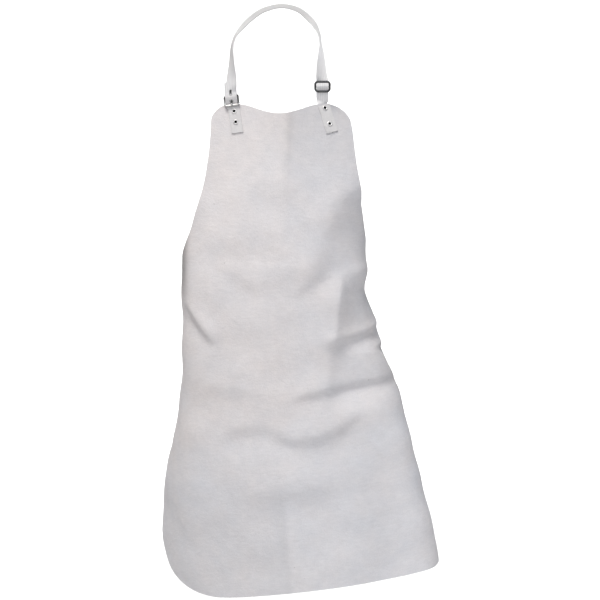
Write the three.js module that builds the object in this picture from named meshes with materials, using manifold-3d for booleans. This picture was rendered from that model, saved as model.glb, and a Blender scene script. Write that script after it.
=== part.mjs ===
// A split-leather work apron with a bib, in the shape it takes when it is worn.
// Millimetres, +Z up. +X is the viewer's right, the front of the apron faces -Y, and the origin is
// the underside of the neck strap where it rests on the back of the neck.
//
// The leather is one flat piece. A place on it is given by u, the distance across from its middle
// line, and v, the distance down from the top of the bib. The worn shape bends that flat piece.
import * as THREE from "three";
import { mergeVertices } from "three/addons/utils/BufferGeometryUtils.js";
import Module from "manifold-3d";

const wasm = await Module();
wasm.setup();

// The flat leather
const LEATHER = 1.5;
const CUT_LENGTH = 1000;
const CUT_HALF = 400;
const BIB_HALF = 144;
const BIB_CORNER = 30;
const ARMHOLE_TOP = 20;
const ARMHOLE_END = 385;
const ARMHOLE_POWER = 2.3;
const HEM_CORNER_ACROSS = 185;
const HEM_CORNER_UP = 140;
const NECK_MIDDLE = -5;
const NECK_HALF = 92;
const NECK_DIP = 20;
const SHOULDER_DROP = 10;
const NECK_FADE = 120;
const SIDE_ROLL = 170;
const FOLD_END = 0.3;
const MIDDLE_SHARE = 0.45;
const MIDDLE_AT_BIB = 62;
const MIDDLE_AT_SKIRT = 180;

// Straps, tabs and metal
const GAP = 0.3;
const TAB = 1.8;
const TAB_WIDTH = 24;
const TAB_LIFT = 0.4;
const TAB_TOP = TAB_LIFT + TAB;
const BILLET_WIDTH = 23.4;
const STRAP = 1.6;
const STRAP_WIDTH = 24;
const STRAP_GAP_BEHIND_BIB = 1.4;
const STRAP_END_WIDTH = 18;
const STRAP_END_LEVELS = [2, 12, 30, 54];
const RIVET_HOLE = 2.6;
const RIVET_SHANK = 3.2;
const RIVET_FLANGE = 5.0;
const RIVET_RIM = 0.9;
const RIVET_FLOOR = 0.5;
const RIVET_HOLE_DEPTH = 24;
const PRONG_HOLE = 3.2;
const PRONG_HOLE_DROP = 10.2;
const BUCKLE = { x: -104, y: -112, z: -184, roll: 8, lean: 15, turn: -8 };
const BUCKLE_BAR = 3.0;
const BUCKLE_SIDE_BAR = 2.7;
const BUCKLE_INSIDE_WIDTH = 24.6;
const BUCKLE_INSIDE_HEIGHT = 16.4;
const BUCKLE_CORNER = 4;
const BUCKLE_INSIDE_CORNER = 1.2;
const FOLD_RADIUS = 3.1;
const FOLD_LENGTH = 30;
const FOLD_TAPER = 0.03;
const PRONG_RADIUS = 1.2;
const PRONG_KNUCKLE = 3.3;
const PRONG_WIDTH = 3.2;
const PRONG_BORE = 2.2;
const PRONG_ROOT = 2.6;
const PRONG_OVERHANG = 2;
const PRONG_TILT = 9;
const SLOT_WIDTH = 4.6;
const SLOT_ABOVE = 13;
const SLOT_ABOVE_BEHIND = 5;
const SLOT_BELOW = 8;
const SLOT_DEPTH = 30;
const SLIDER = { x: 79, y: -108, z: -165 };
const SLIDER_WIDTH = 33.6;
const SLIDER_HEIGHT = 24;
const SLIDER_CORNER = 7;
const SLIDER_PLATE = 1.8;
const SLIDER_INSIDE = 25;
const SLIDER_BAR = 3.6;
const SLIDER_WEAVE = 2.8;
const SLIDER_INSIDE_CORNER = 1;

// Numbers of facets and steps
const LEATHER_COLUMNS = 28;
const TAB_COLUMNS = 6;
const TAB_ROWS = 8;
const BIB_CORNER_ROWS = 4;
const ARMHOLE_ROWS = 14;
const HEM_CORNER_ROWS = 7;
const FOLD_TURN_ROWS = 6;
const BILLET_STEP = 8;
const HEADING_STEPS = 48;
const ROUND = 14;

// A short table: the first list names the columns, and each further list is one row.
function table(columns, ...rows) {
  return rows.map((row) => Object.fromEntries(columns.map((name, k) => [name, row[k]])));
}

// The worn shape, one row for each level down the leather. x, y and z place the middle line, lean
// turns the row in the plane of the front, bow is how far each 100 mm of the front bends, in degrees.
// Past leftStart and rightStart the leather turns back round the sides, by leftTurn and rightTurn.
const SECTIONS = table(
  ["level", "x", "y", "z", "lean", "bow", "leftStart", "leftTurn", "rightStart", "rightTurn"],
  [0, -2, -118, -199, 0, 8, 60, 12, 30, 76],
  [80, -2, -138, -276, 0, 8, 80, 18, 75, 24],
  [180, -2, -160, -372, 0, 8, 95, 44, 101, 58],
  [280, 0, -178, -468, 1, 9, 122, 80, 85, 84],
  [380, 4, -190, -564, 3, 9, 136, 90, 92, 88],
  [480, 13, -200, -659, 5, 9, 140, 84, 104, 85],
  [600, 28, -214, -773, 7, 10, 160, 68, 123, 82],
  [740, 50, -232, -907, 8, 11, 198, 42, 141, 82],
  [880, 72, -250, -1040, 8, 12, 210, 22, 160, 84],
  [1000, 90, -264, -1152, 8, 13, 216, 10, 171, 86],
);

// The folds. Each runs from one place on the leather to another, bowing sideways in between. Above
// the line the leather swells by depth, and below it it tucks in by as much.
const FOLDS = table(
  ["fold", "fromU", "fromV", "toU", "toV", "bow", "depth", "above", "below", "edge"],
  ["waist crease", -170, 318, 100, 326, 10, -1.1, 45, 60, 10],
  ["waist left", -135, 330, -35, 400, 0, 1.9, 40, 40, 11],
  ["waist right", 0, 410, 105, 340, 0, 1.9, 40, 40, 11],
  ["hip upper right", 40, 510, 300, 478, -4, 5.2, 16, 60, 9],
  ["hip lower right", -55, 623, 275, 600, -14, 3.7, 40, 35, 6],
  ["thigh left", -180, 686, -6, 700, -30, 3.1, 36, 50, 12],
  ["thigh right", -95, 674, 140, 644, 38, 4.4, 36, 60, 11],
  ["hip left", -222, 395, -146, 496, 0, 6.6, 26, 36, 7],
  ["ridge left", -190, 545, -30, 590, 0, -1.6, 40, 30, 8],
  ["knee", -280, 790, 330, 822, 0, 1.4, 60, 60, 14],
);

// The rows of facets between the armholes' end and the round corners of the hem
const FACET_ROWS = table(
  ["from", "to", "step"],
  [ARMHOLE_END, 475, 18],
  [475, 720, 14],
  [720, CUT_LENGTH - HEM_CORNER_UP, 28],
);

// The flat dents at the right side. Each begins at a line down the leather and ends span further out.
// softTop, softBottom and softSide are how far its top, its bottom and that line are rounded off.
const DENTS = table(
  ["dent", "topU", "topV", "bottomU", "bottomV", "depth", "span", "softTop", "softBottom", "softSide"],
  ["side of the bib", 123, 170, 24, 440, 13, 175, 45, 110, 40],
  ["side of the waist", 122, 345, 84, 535, 23.5, 190, 60, 45, 10],
  ["front of the hip", 79, 492, 55, 660, 15, 190, 40, 70, 16],
  ["side of the hip", 190, 518, 262, 660, 8, 130, 14, 60, 20],
);

// The neck strap between its fold at the buckle and the slider. turn is the way its width points,
// seen from above and measured from +X, and tip is how far that direction points up.
const STRAP_ROUTE = table(
  ["x", "y", "z", "turn", "tip"],
  [-104, -113, -166, -22, 4],
  [-102.8, -110, -148, -38, 0],
  [-102.8, -103, -116, -64, 0],
  [-102.1, -90, -84, -76, 0],
  [-97.2, -78, -65.4, -79, -7],
  [-86.7, -60, -49.5, -73, -15],
  [-63.7, -30, -23.9, -74, -22],
  [-37.6, -8, -6.7, -82, -24],
  [-0.8, 0, 0.9, -90, -22],
  [28.9, -8, -6.5, -98, -24],
  [51.3, -30, -24.9, -110, -22],
  [65.5, -58, -43.5, -109, -15],
  [72.8, -74, -61.4, -103, -7],
  [75.2, -85, -79.8, -103, 0],
  [76.1, -93, -100, -119, 0],
  [76.4, -99, -124, -139, 0],
  [77.6, -104, -145, -158, 0],
);

// The neck strap below the slider, as far as it keeps its full width
const STRAP_BELOW_SLIDER = table(
  ["x", "y", "z", "turn", "tip"],
  [78.6, -104.4, -185, -180, 0],
  [79.2, -103.4, -192.5, -180, 0],
);

// Places on the leather of the pieces that are riveted to it
const BILLET = { topU: -98, topV: 3, bottomU: -89, bottomV: 61, rivets: [16.5, 39] };
const RIGHT_TAB = { topU: 84.5, topV: 4, bottomU: 100.5, bottomV: 60, rivets: [10, 42.5] };

// The billet above the bib, seen from the buckle: up is the distance above the buckle's upper bar and
// out the distance behind its plane. It runs behind the lower bar, then out in front of the upper one.
const BILLET_ROUTE = table(
  ["up", "out"],
  [-19.4, 3.0],
  [-16.5, 2.2],
  [-14, 0.6],
  [-10.5, -1.5],
  [-7, -3.7],
  [-3.5, -5.3],
  [-0.5, -5.6],
);

const rad = THREE.MathUtils.degToRad;
const vector = (x, y, z) => new THREE.Vector3(x, y, z);
const ease = (t) => THREE.MathUtils.smoothstep(t, 0, 1);
const clamp01 = (t) => THREE.MathUtils.clamp(t, 0, 1);

// Half the width of the flat leather at a level
function halfWidth(v) {
  const arm = clamp01((v - ARMHOLE_TOP) / (ARMHOLE_END - ARMHOLE_TOP)) ** ARMHOLE_POWER;
  const side = CUT_HALF - (CUT_HALF - BIB_HALF) * Math.sqrt(1 - arm);
  const low = clamp01((v - CUT_LENGTH + HEM_CORNER_UP) / HEM_CORNER_UP);
  const hem = CUT_HALF - HEM_CORNER_ACROSS * (1 - Math.sqrt(1 - low * low));
  const high = clamp01((BIB_CORNER - v) / BIB_CORNER);
  return Math.min(side, hem) - BIB_CORNER * (1 - Math.sqrt(1 - high * high));
}

// How far the bib's top edge lies below its two peaks
function topEdge(u) {
  const off = Math.abs(u - NECK_MIDDLE);
  const dip = (NECK_DIP / 2) * (1 + Math.cos(Math.PI * clamp01(off / NECK_HALF)));
  return dip + SHOULDER_DROP * ease((off - NECK_HALF) / (BIB_HALF - NECK_HALF));
}

// The slope of one column at row k of a table, from its neighbours
function slopeAt(rows, column, k, along) {
  const step = (i) => (rows[i + 1][column] - rows[i][column]) / (rows[i + 1][along] - rows[i][along]);
  if (k === 0) return step(0);
  if (k === rows.length - 1) return step(k - 1);
  const before = rows[k][along] - rows[k - 1][along];
  const after = rows[k + 1][along] - rows[k][along];
  return (step(k - 1) * after + step(k) * before) / (before + after);
}

// Every column of a table at a place between its rows, on a smooth curve through them
function between(rows, along, place) {
  let k = 0;
  while (k < rows.length - 2 && place > rows[k + 1][along]) k += 1;
  const gap = rows[k + 1][along] - rows[k][along];
  const t = (place - rows[k][along]) / gap;
  const out = {};
  for (const column of Object.keys(rows[k])) {
    if (typeof rows[k][column] !== "number") continue;
    const a = rows[k][column] * (2 * t ** 3 - 3 * t ** 2 + 1);
    const b = slopeAt(rows, column, k, along) * gap * (t ** 3 - 2 * t ** 2 + t);
    const c = rows[k + 1][column] * (3 * t ** 2 - 2 * t ** 3);
    const d = slopeAt(rows, column, k + 1, along) * gap * (t ** 3 - t ** 2);
    out[column] = a + b + c + d;
  }
  return out;
}

// The worn leather before its folds: the row's heading is added up from the middle line outwards.
function draped(u, v) {
  const row = between(SECTIONS, "level", v);
  let forward = 0;
  let sideways = 0;
  for (let k = 0; k < HEADING_STEPS; k += 1) {
    const at = (u * (k + 0.5)) / HEADING_STEPS;
    const right = row.rightTurn * ease((at - row.rightStart) / SIDE_ROLL);
    const left = row.leftTurn * ease((-at - row.leftStart) / SIDE_ROLL);
    const heading = rad((row.bow * at) / 100 + (at > 0 ? right : -left));
    sideways += (Math.cos(heading) * u) / HEADING_STEPS;
    forward += (Math.sin(heading) * u) / HEADING_STEPS;
  }
  const lean = rad(row.lean);
  return vector(
    row.x + sideways * Math.cos(lean),
    row.y + forward,
    row.z + sideways * Math.sin(lean),
  );
}

// How far the folds and dents move the leather out, or in where it is below zero
function relief(u, v) {
  let sum = 0;
  for (const f of FOLDS) {
    const length = Math.hypot(f.toU - f.fromU, f.toV - f.fromV);
    const tu = (f.toU - f.fromU) / length;
    const tv = (f.toV - f.fromV) / length;
    const s = ((u - f.fromU) * tu + (v - f.fromV) * tv) / length;
    const off = (v - f.fromV) * tu - (u - f.fromU) * tv - f.bow * 4 * s * (1 - s);
    const fade = Math.exp(-((off / (off < 0 ? f.above : f.below)) ** 2));
    const ends = ease(s / FOLD_END) * ease((1 - s) / FOLD_END);
    sum -= f.depth * Math.tanh(off / f.edge) * fade * ends;
  }
  for (const d of DENTS) {
    const length = d.bottomV - d.topV;
    const s = (v - d.topV) / length;
    const past = Math.max(u - d.topU - (d.bottomU - d.topU) * s + d.softSide / 2, 0);
    const across = past < d.softSide ? past ** 2 / (2 * d.softSide) : past - d.softSide / 2;
    const x = clamp01(across / d.span);
    const ends = ease((s * length) / d.softTop) * ease(((1 - s) * length) / d.softBottom);
    const hollow = (27 / 4) * x * (1 - x) ** 2;
    sum -= d.depth * hollow * ends;
  }
  return sum;
}

// The direction out of the front of the leather
function outward(u, v, place = draped) {
  const across = place(u + 1, v).sub(place(u - 1, v));
  const up = place(u, v - 1).sub(place(u, v + 1));
  return across.cross(up).normalize();
}

const worn = (u, v) => draped(u, v).addScaledVector(outward(u, v), relief(u, v));

// A thin wall: a box of many facets whose front and back faces lie on a curved surface.
// point(a, b) gives the surface, a from -1 to 1 across and b from 0 to 1 along it.
function wall(columns, rows, point, normal, front, back) {
  const shape = new THREE.BoxGeometry(1, 1, 1, columns, rows, 1);
  const places = shape.getAttribute("position");
  const known = new Map();
  for (let k = 0; k < places.count; k += 1) {
    const a = Math.round((places.getX(k) + 0.5) * columns);
    const b = Math.round((places.getY(k) + 0.5) * rows);
    const key = a * (rows + 1) + b;
    if (!known.has(key)) {
      const at = [(2 * a) / columns - 1, b / rows];
      known.set(key, { p: point(...at), n: normal(...at) });
    }
    const { p, n } = known.get(key);
    const q = p.clone().addScaledVector(n, places.getZ(k) > 0 ? front : back);
    places.setXYZ(k, q.x, q.y, q.z);
  }
  return plain(shape);
}

// A geometry with only its places left, and one vertex where faces meet
function plain(shape) {
  shape.deleteAttribute("normal");
  shape.deleteAttribute("uv");
  return mergeVertices(shape, 1e-3);
}

function solid(shape) {
  return new wasm.Manifold(
    new wasm.Mesh({
      numProp: 3,
      vertProperties: new Float32Array(shape.getAttribute("position").array),
      triVerts: new Uint32Array(shape.index.array),
    }),
  );
}

function joinAndCut(shape, joined, removed) {
  let body = solid(shape);
  for (const other of joined) body = body.add(solid(other));
  for (const other of removed) body = body.subtract(solid(other));
  const mesh = body.getMesh();
  const out = new THREE.BufferGeometry();
  out.setAttribute("position", new THREE.BufferAttribute(mesh.vertProperties, 3));
  out.setIndex(new THREE.BufferAttribute(mesh.triVerts, 1));
  return out;
}

// A round cutter along an axis through a point
function drill(point, axis, radius, length) {
  const shape = plain(new THREE.CylinderGeometry(radius, radius, length, ROUND));
  shape.applyQuaternion(new THREE.Quaternion().setFromUnitVectors(vector(0, 1, 0), axis));
  return shape.translate(point.x, point.y, point.z);
}

// A ribbon along rows that hold a point, the direction of its width and the width, with the same
// number of steps from each row to the next
function ribbon(rows, columns, steps, thick) {
  const at = (b) => {
    const k = Math.min(Math.floor(b * (rows.length - 1)), rows.length - 2);
    const share = b * (rows.length - 1) - k;
    const row = between(rows, "run", rows[k].run + (rows[k + 1].run - rows[k].run) * share);
    const across = vector(row.ax, row.ay, row.az).normalize();
    return { p: vector(row.x, row.y, row.z), across, half: row.width / 2 };
  };
  const point = (a, b) => {
    const { p, across, half } = at(b);
    return p.addScaledVector(across, a * half);
  };
  const normal = (a, b) => {
    const along = point(0, Math.min(1, b + 1e-3)).sub(point(0, Math.max(0, b - 1e-3)));
    return at(b).across.cross(along).normalize();
  };
  return wall(columns, steps * (rows.length - 1), point, normal, thick / 2, -thick / 2);
}

// Gives each row of a ribbon its share of the whole run, from 0 to 1
function paced(rows) {
  let run = 0;
  const out = rows.map((row, k) => {
    if (k > 0) {
      const last = rows[k - 1];
      run += Math.hypot(row.x - last.x, row.y - last.y, row.z - last.z);
    }
    return { ...row, run };
  });
  return out.map((row) => ({ ...row, run: row.run / run }));
}

// A direction from how far it turns from +X, seen from above, and how far it tips up
function pointing(turn, tip) {
  return vector(
    Math.cos(rad(tip)) * Math.cos(rad(turn)),
    Math.cos(rad(tip)) * Math.sin(rad(turn)),
    Math.sin(rad(tip)),
  );
}

// A row of a ribbon from a point and the direction of its width
function rowOf(p, across, width) {
  return { x: p.x, y: p.y, z: p.z, ax: across.x, ay: across.y, az: across.z, width };
}

function routed(row, width) {
  return rowOf(row, pointing(row.turn, row.tip), width);
}

// A row of a ribbon that lies on the leather, lifted off its front by lift
function onLeather(piece, v, lift, width) {
  const share = (v - piece.topV) / (piece.bottomV - piece.topV);
  const u = piece.topU + (piece.bottomU - piece.topU) * share;
  const p = worn(u, v).addScaledVector(outward(u, v, worn), lift);
  const slope = (piece.bottomU - piece.topU) / (piece.bottomV - piece.topV);
  const across = worn(u + 1, v - slope).sub(worn(u - 1, v + slope)).normalize();
  return rowOf(p, across, width);
}

const material = (color, roughness, metalness) =>
  new THREE.MeshStandardMaterial({ color, roughness, metalness });
const leather = material(0xd9d7d7, 0.9, 0);
const tabLeather = material(0xded8d0, 0.85, 0);
const webbing = material(0xd2d0d0, 0.9, 0);
const nickel = material(0x8d8b88, 0.35, 1);

const apron = new THREE.Group();
function piece(name, shape, look, parent = apron) {
  const mesh = new THREE.Mesh(shape, look);
  mesh.name = name;
  parent.add(mesh);
  return mesh;
}

// Levels of the leather's rows: close together in the round corners and among the folds
function leatherLevels() {
  const levels = [];
  const quarter = Math.PI / 2;
  for (let k = 0; k < BIB_CORNER_ROWS; k += 1) {
    levels.push(BIB_CORNER * (1 - Math.cos((quarter * k) / BIB_CORNER_ROWS)));
  }
  const first = Math.asin((BIB_CORNER - ARMHOLE_TOP) / (ARMHOLE_END - ARMHOLE_TOP));
  for (let k = 0; k < ARMHOLE_ROWS; k += 1) {
    const angle = first + ((quarter - first) * k) / ARMHOLE_ROWS;
    levels.push(ARMHOLE_TOP + (ARMHOLE_END - ARMHOLE_TOP) * Math.sin(angle));
  }
  for (const part of FACET_ROWS) {
    for (let v = part.from; v < part.to; v += part.step) levels.push(v);
  }
  for (let k = 0; k <= HEM_CORNER_ROWS; k += 1) {
    levels.push(CUT_LENGTH - HEM_CORNER_UP * (1 - Math.sin((quarter * k) / HEM_CORNER_ROWS)));
  }
  return levels;
}

// Where a column lies at a level: the middle ones run straight down the leather, and only the outer
// ones draw in with its edge.
function columnAt(share, level) {
  const skirt = clamp01(level / ARMHOLE_END);
  const middle = MIDDLE_AT_BIB + (MIDDLE_AT_SKIRT - MIDDLE_AT_BIB) * skirt;
  if (share <= MIDDLE_SHARE) return (middle * share) / MIDDLE_SHARE;
  return middle + ((halfWidth(level) - middle) * (share - MIDDLE_SHARE)) / (1 - MIDDLE_SHARE);
}

function apronBody() {
  const levels = leatherLevels();
  const rows = levels.length - 1;
  const flat = (a, b) => {
    const level = levels[Math.round((1 - b) * rows)];
    const u = Math.sign(a) * columnAt(Math.abs(a), level);
    return [u, level + topEdge(u) * Math.max(0, 1 - level / NECK_FADE)];
  };
  const point = (a, b) => worn(...flat(a, b));
  const normal = (a, b) => outward(...flat(a, b), worn);
  return wall(LEATHER_COLUMNS, rows, point, normal, 0, -LEATHER);
}

// Where a rivet goes through: the point on the front of the leather and its axis
function rivetAt(holder, v) {
  const share = (v - holder.topV) / (holder.bottomV - holder.topV);
  const u = holder.topU + (holder.bottomU - holder.topU) * share;
  return { point: worn(u, v), axis: outward(u, v, worn) };
}

const leftRivets = BILLET.rivets.map((v) => rivetAt(BILLET, v));
const rightRivets = RIGHT_TAB.rivets.map((v) => rivetAt(RIGHT_TAB, v));
const holeFor = ({ point, axis }) => drill(point, axis, RIVET_SHANK + GAP, RIVET_HOLE_DEPTH);

// A hollow rivet: its back head is closed, and the open front end of its shank is rolled over into a
// rim that stands front above the leather's face.
function hollowRivet({ point, axis }, front, back) {
  const top = front + 2 * GAP;
  const bottom = -back - GAP;
  const profile = [
    [0, bottom - RIVET_RIM * 0.6],
    [RIVET_FLANGE - 0.6, bottom - RIVET_RIM * 0.6],
    [RIVET_FLANGE - 0.3, bottom],
    [RIVET_SHANK, bottom],
    [RIVET_SHANK, top],
    [RIVET_FLANGE, top],
    [RIVET_FLANGE - 0.5, top + RIVET_RIM * 0.7],
    [RIVET_SHANK + 0.4, top + RIVET_RIM],
    [RIVET_HOLE, top + RIVET_RIM * 0.5],
    [RIVET_HOLE, bottom + RIVET_FLOOR],
    [0, bottom + RIVET_FLOOR],
  ].map(([r, y]) => new THREE.Vector2(r, y));
  const shape = plain(new THREE.LatheGeometry(profile, ROUND));
  shape.applyQuaternion(new THREE.Quaternion().setFromUnitVectors(vector(0, 1, 0), axis));
  return shape.translate(point.x, point.y, point.z);
}

// The buckle's own frame: its upper bar lies along X, and the frame hangs down from it along -Z
const buckle = new THREE.Group();
buckle.position.set(BUCKLE.x, BUCKLE.y, BUCKLE.z);
buckle.rotation.set(rad(-BUCKLE.lean), rad(-BUCKLE.roll), rad(BUCKLE.turn), "ZXY");
buckle.updateMatrix();
apron.add(buckle);
const fromBuckle = (x, y, z) => vector(x, y, z).applyMatrix4(buckle.matrix);

// The billet: on the bib below, then up through the buckle
function billetRows() {
  const rows = [];
  for (let v = BILLET.bottomV; v > BILLET.topV + BILLET_STEP; v -= BILLET_STEP) {
    rows.push(onLeather(BILLET, v, TAB_LIFT + TAB / 2, BILLET_WIDTH));
  }
  const across = fromBuckle(1, 0, 0).sub(fromBuckle(0, 0, 0));
  const above = BILLET_ROUTE.map((row) => rowOf(fromBuckle(0, row.out, row.up), across, BILLET_WIDTH));
  return paced([...rows, ...above]);
}

// The right tab follows the round of the bib
function rightTab() {
  const flat = (a, b) => {
    const share = 1 - b;
    const slope = (RIGHT_TAB.bottomU - RIGHT_TAB.topU) / (RIGHT_TAB.bottomV - RIGHT_TAB.topV);
    const off = (a * TAB_WIDTH) / 2 / Math.hypot(1, slope);
    const u = RIGHT_TAB.topU + (RIGHT_TAB.bottomU - RIGHT_TAB.topU) * share + off;
    const v = RIGHT_TAB.topV + (RIGHT_TAB.bottomV - RIGHT_TAB.topV) * share - off * slope;
    return [u, v];
  };
  const point = (a, b) => worn(...flat(a, b));
  const normal = (a, b) => outward(...flat(a, b), worn);
  return wall(TAB_COLUMNS, TAB_ROWS, point, normal, TAB_TOP, TAB_LIFT);
}

// The neck strap: folded round the buckle's upper bar, over the neck, woven through the slider and
// down behind the bib, where its end is cut narrower.
function strapRows() {
  const across = fromBuckle(1, 0, 0).sub(fromBuckle(0, 0, 0));
  const rows = [];
  const add = (out, up) => rows.push(rowOf(fromBuckle(0, out, up), across, STRAP_WIDTH));
  for (const up of [FOLD_LENGTH, 20, 10, 4]) add(FOLD_RADIUS - FOLD_TAPER * up, up);
  for (let k = 0; k <= FOLD_TURN_ROWS; k += 1) {
    const angle = (Math.PI * k) / FOLD_TURN_ROWS;
    add(FOLD_RADIUS * Math.cos(angle), -FOLD_RADIUS * Math.sin(angle));
  }
  add(-FOLD_RADIUS, 6);
  rows.push(...STRAP_ROUTE.map((row) => routed(row, STRAP_WIDTH)));
  const pitch = (SLIDER_HEIGHT - SLIDER_BAR) / 2;
  for (const [height, side] of [[pitch, 1], [0, -1], [-pitch, 1]]) {
    const y = SLIDER.y + side * SLIDER_WEAVE;
    rows.push(routed({ x: SLIDER.x, y, z: SLIDER.z + height, turn: -180, tip: 0 }, STRAP_WIDTH));
  }
  rows.push(...STRAP_BELOW_SLIDER.map((row) => routed(row, STRAP_WIDTH)));
  const lift = -(LEATHER + STRAP_GAP_BEHIND_BIB + STRAP / 2);
  for (const v of STRAP_END_LEVELS) {
    const row = onLeather(RIGHT_TAB, v, lift, STRAP_END_WIDTH);
    rows.push({ ...row, ax: -row.ax, ay: -row.ay, az: -row.az });
  }
  return paced(rows);
}

// A frame with rounded corners, standing in the XZ plane round its own middle
function roundedFrame(shape, holes, plate) {
  const outline = roundedPath(new THREE.Shape(), ...shape);
  outline.holes = holes.map((hole) => roundedPath(new THREE.Path(), ...hole));
  const bevel = plate * 0.25;
  const frame = new THREE.ExtrudeGeometry(outline, {
    depth: plate - 2 * bevel,
    bevelThickness: bevel,
    bevelSize: bevel,
    bevelOffset: -bevel,
    bevelSegments: 1,
    curveSegments: 3,
  });
  frame.translate(0, 0, bevel - plate / 2);
  return plain(frame).rotateX(Math.PI / 2);
}

function roundedPath(path, width, height, corner, middle) {
  const w = width / 2;
  const h = height / 2;
  path.moveTo(-w + corner, middle - h);
  path.lineTo(w - corner, middle - h);
  path.absarc(w - corner, middle - h + corner, corner, -Math.PI / 2, 0);
  path.lineTo(w, middle + h - corner);
  path.absarc(w - corner, middle + h - corner, corner, 0, Math.PI / 2);
  path.lineTo(-w + corner, middle + h);
  path.absarc(-w + corner, middle + h - corner, corner, Math.PI / 2, Math.PI);
  path.lineTo(-w, middle - h + corner);
  path.absarc(-w + corner, middle - h + corner, corner, Math.PI, 1.5 * Math.PI);
  path.closePath();
  return path;
}

// The prong: a pin with a ring round the buckle's upper bar, made along -Z from the bar's middle
function prong() {
  const reach = BUCKLE_INSIDE_HEIGHT + BUCKLE_BAR + PRONG_OVERHANG;
  const ring = plain(new THREE.CylinderGeometry(PRONG_KNUCKLE, PRONG_KNUCKLE, PRONG_WIDTH, ROUND));
  const bore = plain(new THREE.CylinderGeometry(PRONG_BORE, PRONG_BORE, 2 * PRONG_WIDTH, ROUND));
  const pin = plain(new THREE.CylinderGeometry(PRONG_RADIUS, PRONG_RADIUS, reach - PRONG_ROOT, ROUND));
  ring.rotateZ(Math.PI / 2);
  bore.rotateZ(Math.PI / 2);
  pin.rotateX(Math.PI / 2);
  pin.translate(0, 0, -(reach + PRONG_ROOT) / 2);
  return joinAndCut(ring, [pin], [bore]);
}

piece("apron_body", joinAndCut(apronBody(), [], [...leftRivets, ...rightRivets].map(holeFor)), leather);

const billet = ribbon(billetRows(), 2, 2, TAB);
const throughBuckle = fromBuckle(0, 1, 0).sub(fromBuckle(0, 0, 0));
const prongHole = drill(fromBuckle(0, 0, -PRONG_HOLE_DROP), throughBuckle, PRONG_HOLE, RIVET_HOLE_DEPTH);
piece("left_billet", joinAndCut(billet, [], [...leftRivets.map(holeFor), prongHole]), tabLeather);

piece("left_rivet_upper", hollowRivet(leftRivets[0], TAB_TOP, LEATHER), nickel);
piece("left_rivet_lower", hollowRivet(leftRivets[1], TAB_TOP, LEATHER), nickel);

const frameDrop = -(BUCKLE_INSIDE_HEIGHT + BUCKLE_BAR) / 2;
const frameOutside = [
  BUCKLE_INSIDE_WIDTH + 2 * BUCKLE_SIDE_BAR,
  BUCKLE_INSIDE_HEIGHT + 2 * BUCKLE_BAR,
  BUCKLE_CORNER,
  frameDrop,
];
const frameInside = [BUCKLE_INSIDE_WIDTH, BUCKLE_INSIDE_HEIGHT, BUCKLE_INSIDE_CORNER, frameDrop];
piece("buckle_frame", roundedFrame(frameOutside, [frameInside], BUCKLE_BAR), nickel, buckle);
const pin = piece("buckle_prong", prong(), nickel, buckle);
pin.rotation.x = rad(-PRONG_TILT);

const strap = ribbon(strapRows(), 1, 3, STRAP);
// The slot for the prong is longer in the strap's front layer than in the end that returns behind it.
function slot(above, side) {
  const cutter = plain(new THREE.BoxGeometry(SLOT_WIDTH, SLOT_DEPTH, above + SLOT_BELOW));
  cutter.translate(0, side * (SLOT_DEPTH / 2 - GAP), (above - SLOT_BELOW) / 2);
  return cutter.applyMatrix4(buckle.matrix);
}
const slots = [slot(SLOT_ABOVE, -1), slot(SLOT_ABOVE_BEHIND, 1)];
piece("neck_strap", joinAndCut(strap, [], [...slots, ...rightRivets.map(holeFor)]), webbing);

const windowHeight = (SLIDER_HEIGHT - 3 * SLIDER_BAR) / 2;
const windowMiddle = (windowHeight + SLIDER_BAR) / 2;
const windowAt = (middle) => [SLIDER_INSIDE, windowHeight, SLIDER_INSIDE_CORNER, middle];
const windows = [windowAt(-windowMiddle), windowAt(windowMiddle)];
const sliderOutside = [SLIDER_WIDTH, SLIDER_HEIGHT, SLIDER_CORNER, 0];
const slider = piece("slider", roundedFrame(sliderOutside, windows, SLIDER_PLATE), nickel);
slider.position.set(SLIDER.x, SLIDER.y, SLIDER.z);

piece("right_tab", joinAndCut(rightTab(), [], rightRivets.map(holeFor)), tabLeather);
const rightBack = LEATHER + STRAP_GAP_BEHIND_BIB + STRAP;
piece("right_rivet_upper", hollowRivet(rightRivets[0], TAB_TOP, rightBack), nickel);
piece("right_rivet_lower", hollowRivet(rightRivets[1], TAB_TOP, rightBack), nickel);

export default apron;
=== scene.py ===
# %% [markdown]
# # A worn leather work apron, dressed around its solids
# The solids come from the apron's own source: one leather sheet, a woven neck strap, two leather tabs,
# a prong buckle, a slider and four hollow rivets, in metres, with +Z up and the front facing -Y.
# A dressed model could be sculpted by eye on top of them. Here every piece is worked out from the same
# named sizes and short tables as the solids, so it lies where its solid lies. Only low swells and creases
# of the leather are added.

# %% Load the solids
import math

import bmesh
import bpy
import numpy as np
from mathutils import Matrix, Vector


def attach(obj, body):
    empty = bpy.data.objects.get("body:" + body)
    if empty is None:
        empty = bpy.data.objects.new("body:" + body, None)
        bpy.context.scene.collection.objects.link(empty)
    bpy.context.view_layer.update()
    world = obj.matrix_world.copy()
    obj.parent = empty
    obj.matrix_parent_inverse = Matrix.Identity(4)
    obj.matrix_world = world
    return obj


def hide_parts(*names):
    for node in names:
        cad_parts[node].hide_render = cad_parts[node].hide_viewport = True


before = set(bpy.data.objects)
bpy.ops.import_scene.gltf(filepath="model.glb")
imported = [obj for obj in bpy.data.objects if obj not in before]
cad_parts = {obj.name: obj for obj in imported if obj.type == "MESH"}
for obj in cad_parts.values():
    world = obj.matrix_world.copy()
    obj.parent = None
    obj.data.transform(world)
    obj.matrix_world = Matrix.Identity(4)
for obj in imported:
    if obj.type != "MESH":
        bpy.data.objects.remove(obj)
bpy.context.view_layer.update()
print("solids:", ", ".join(sorted(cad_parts)))

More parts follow.
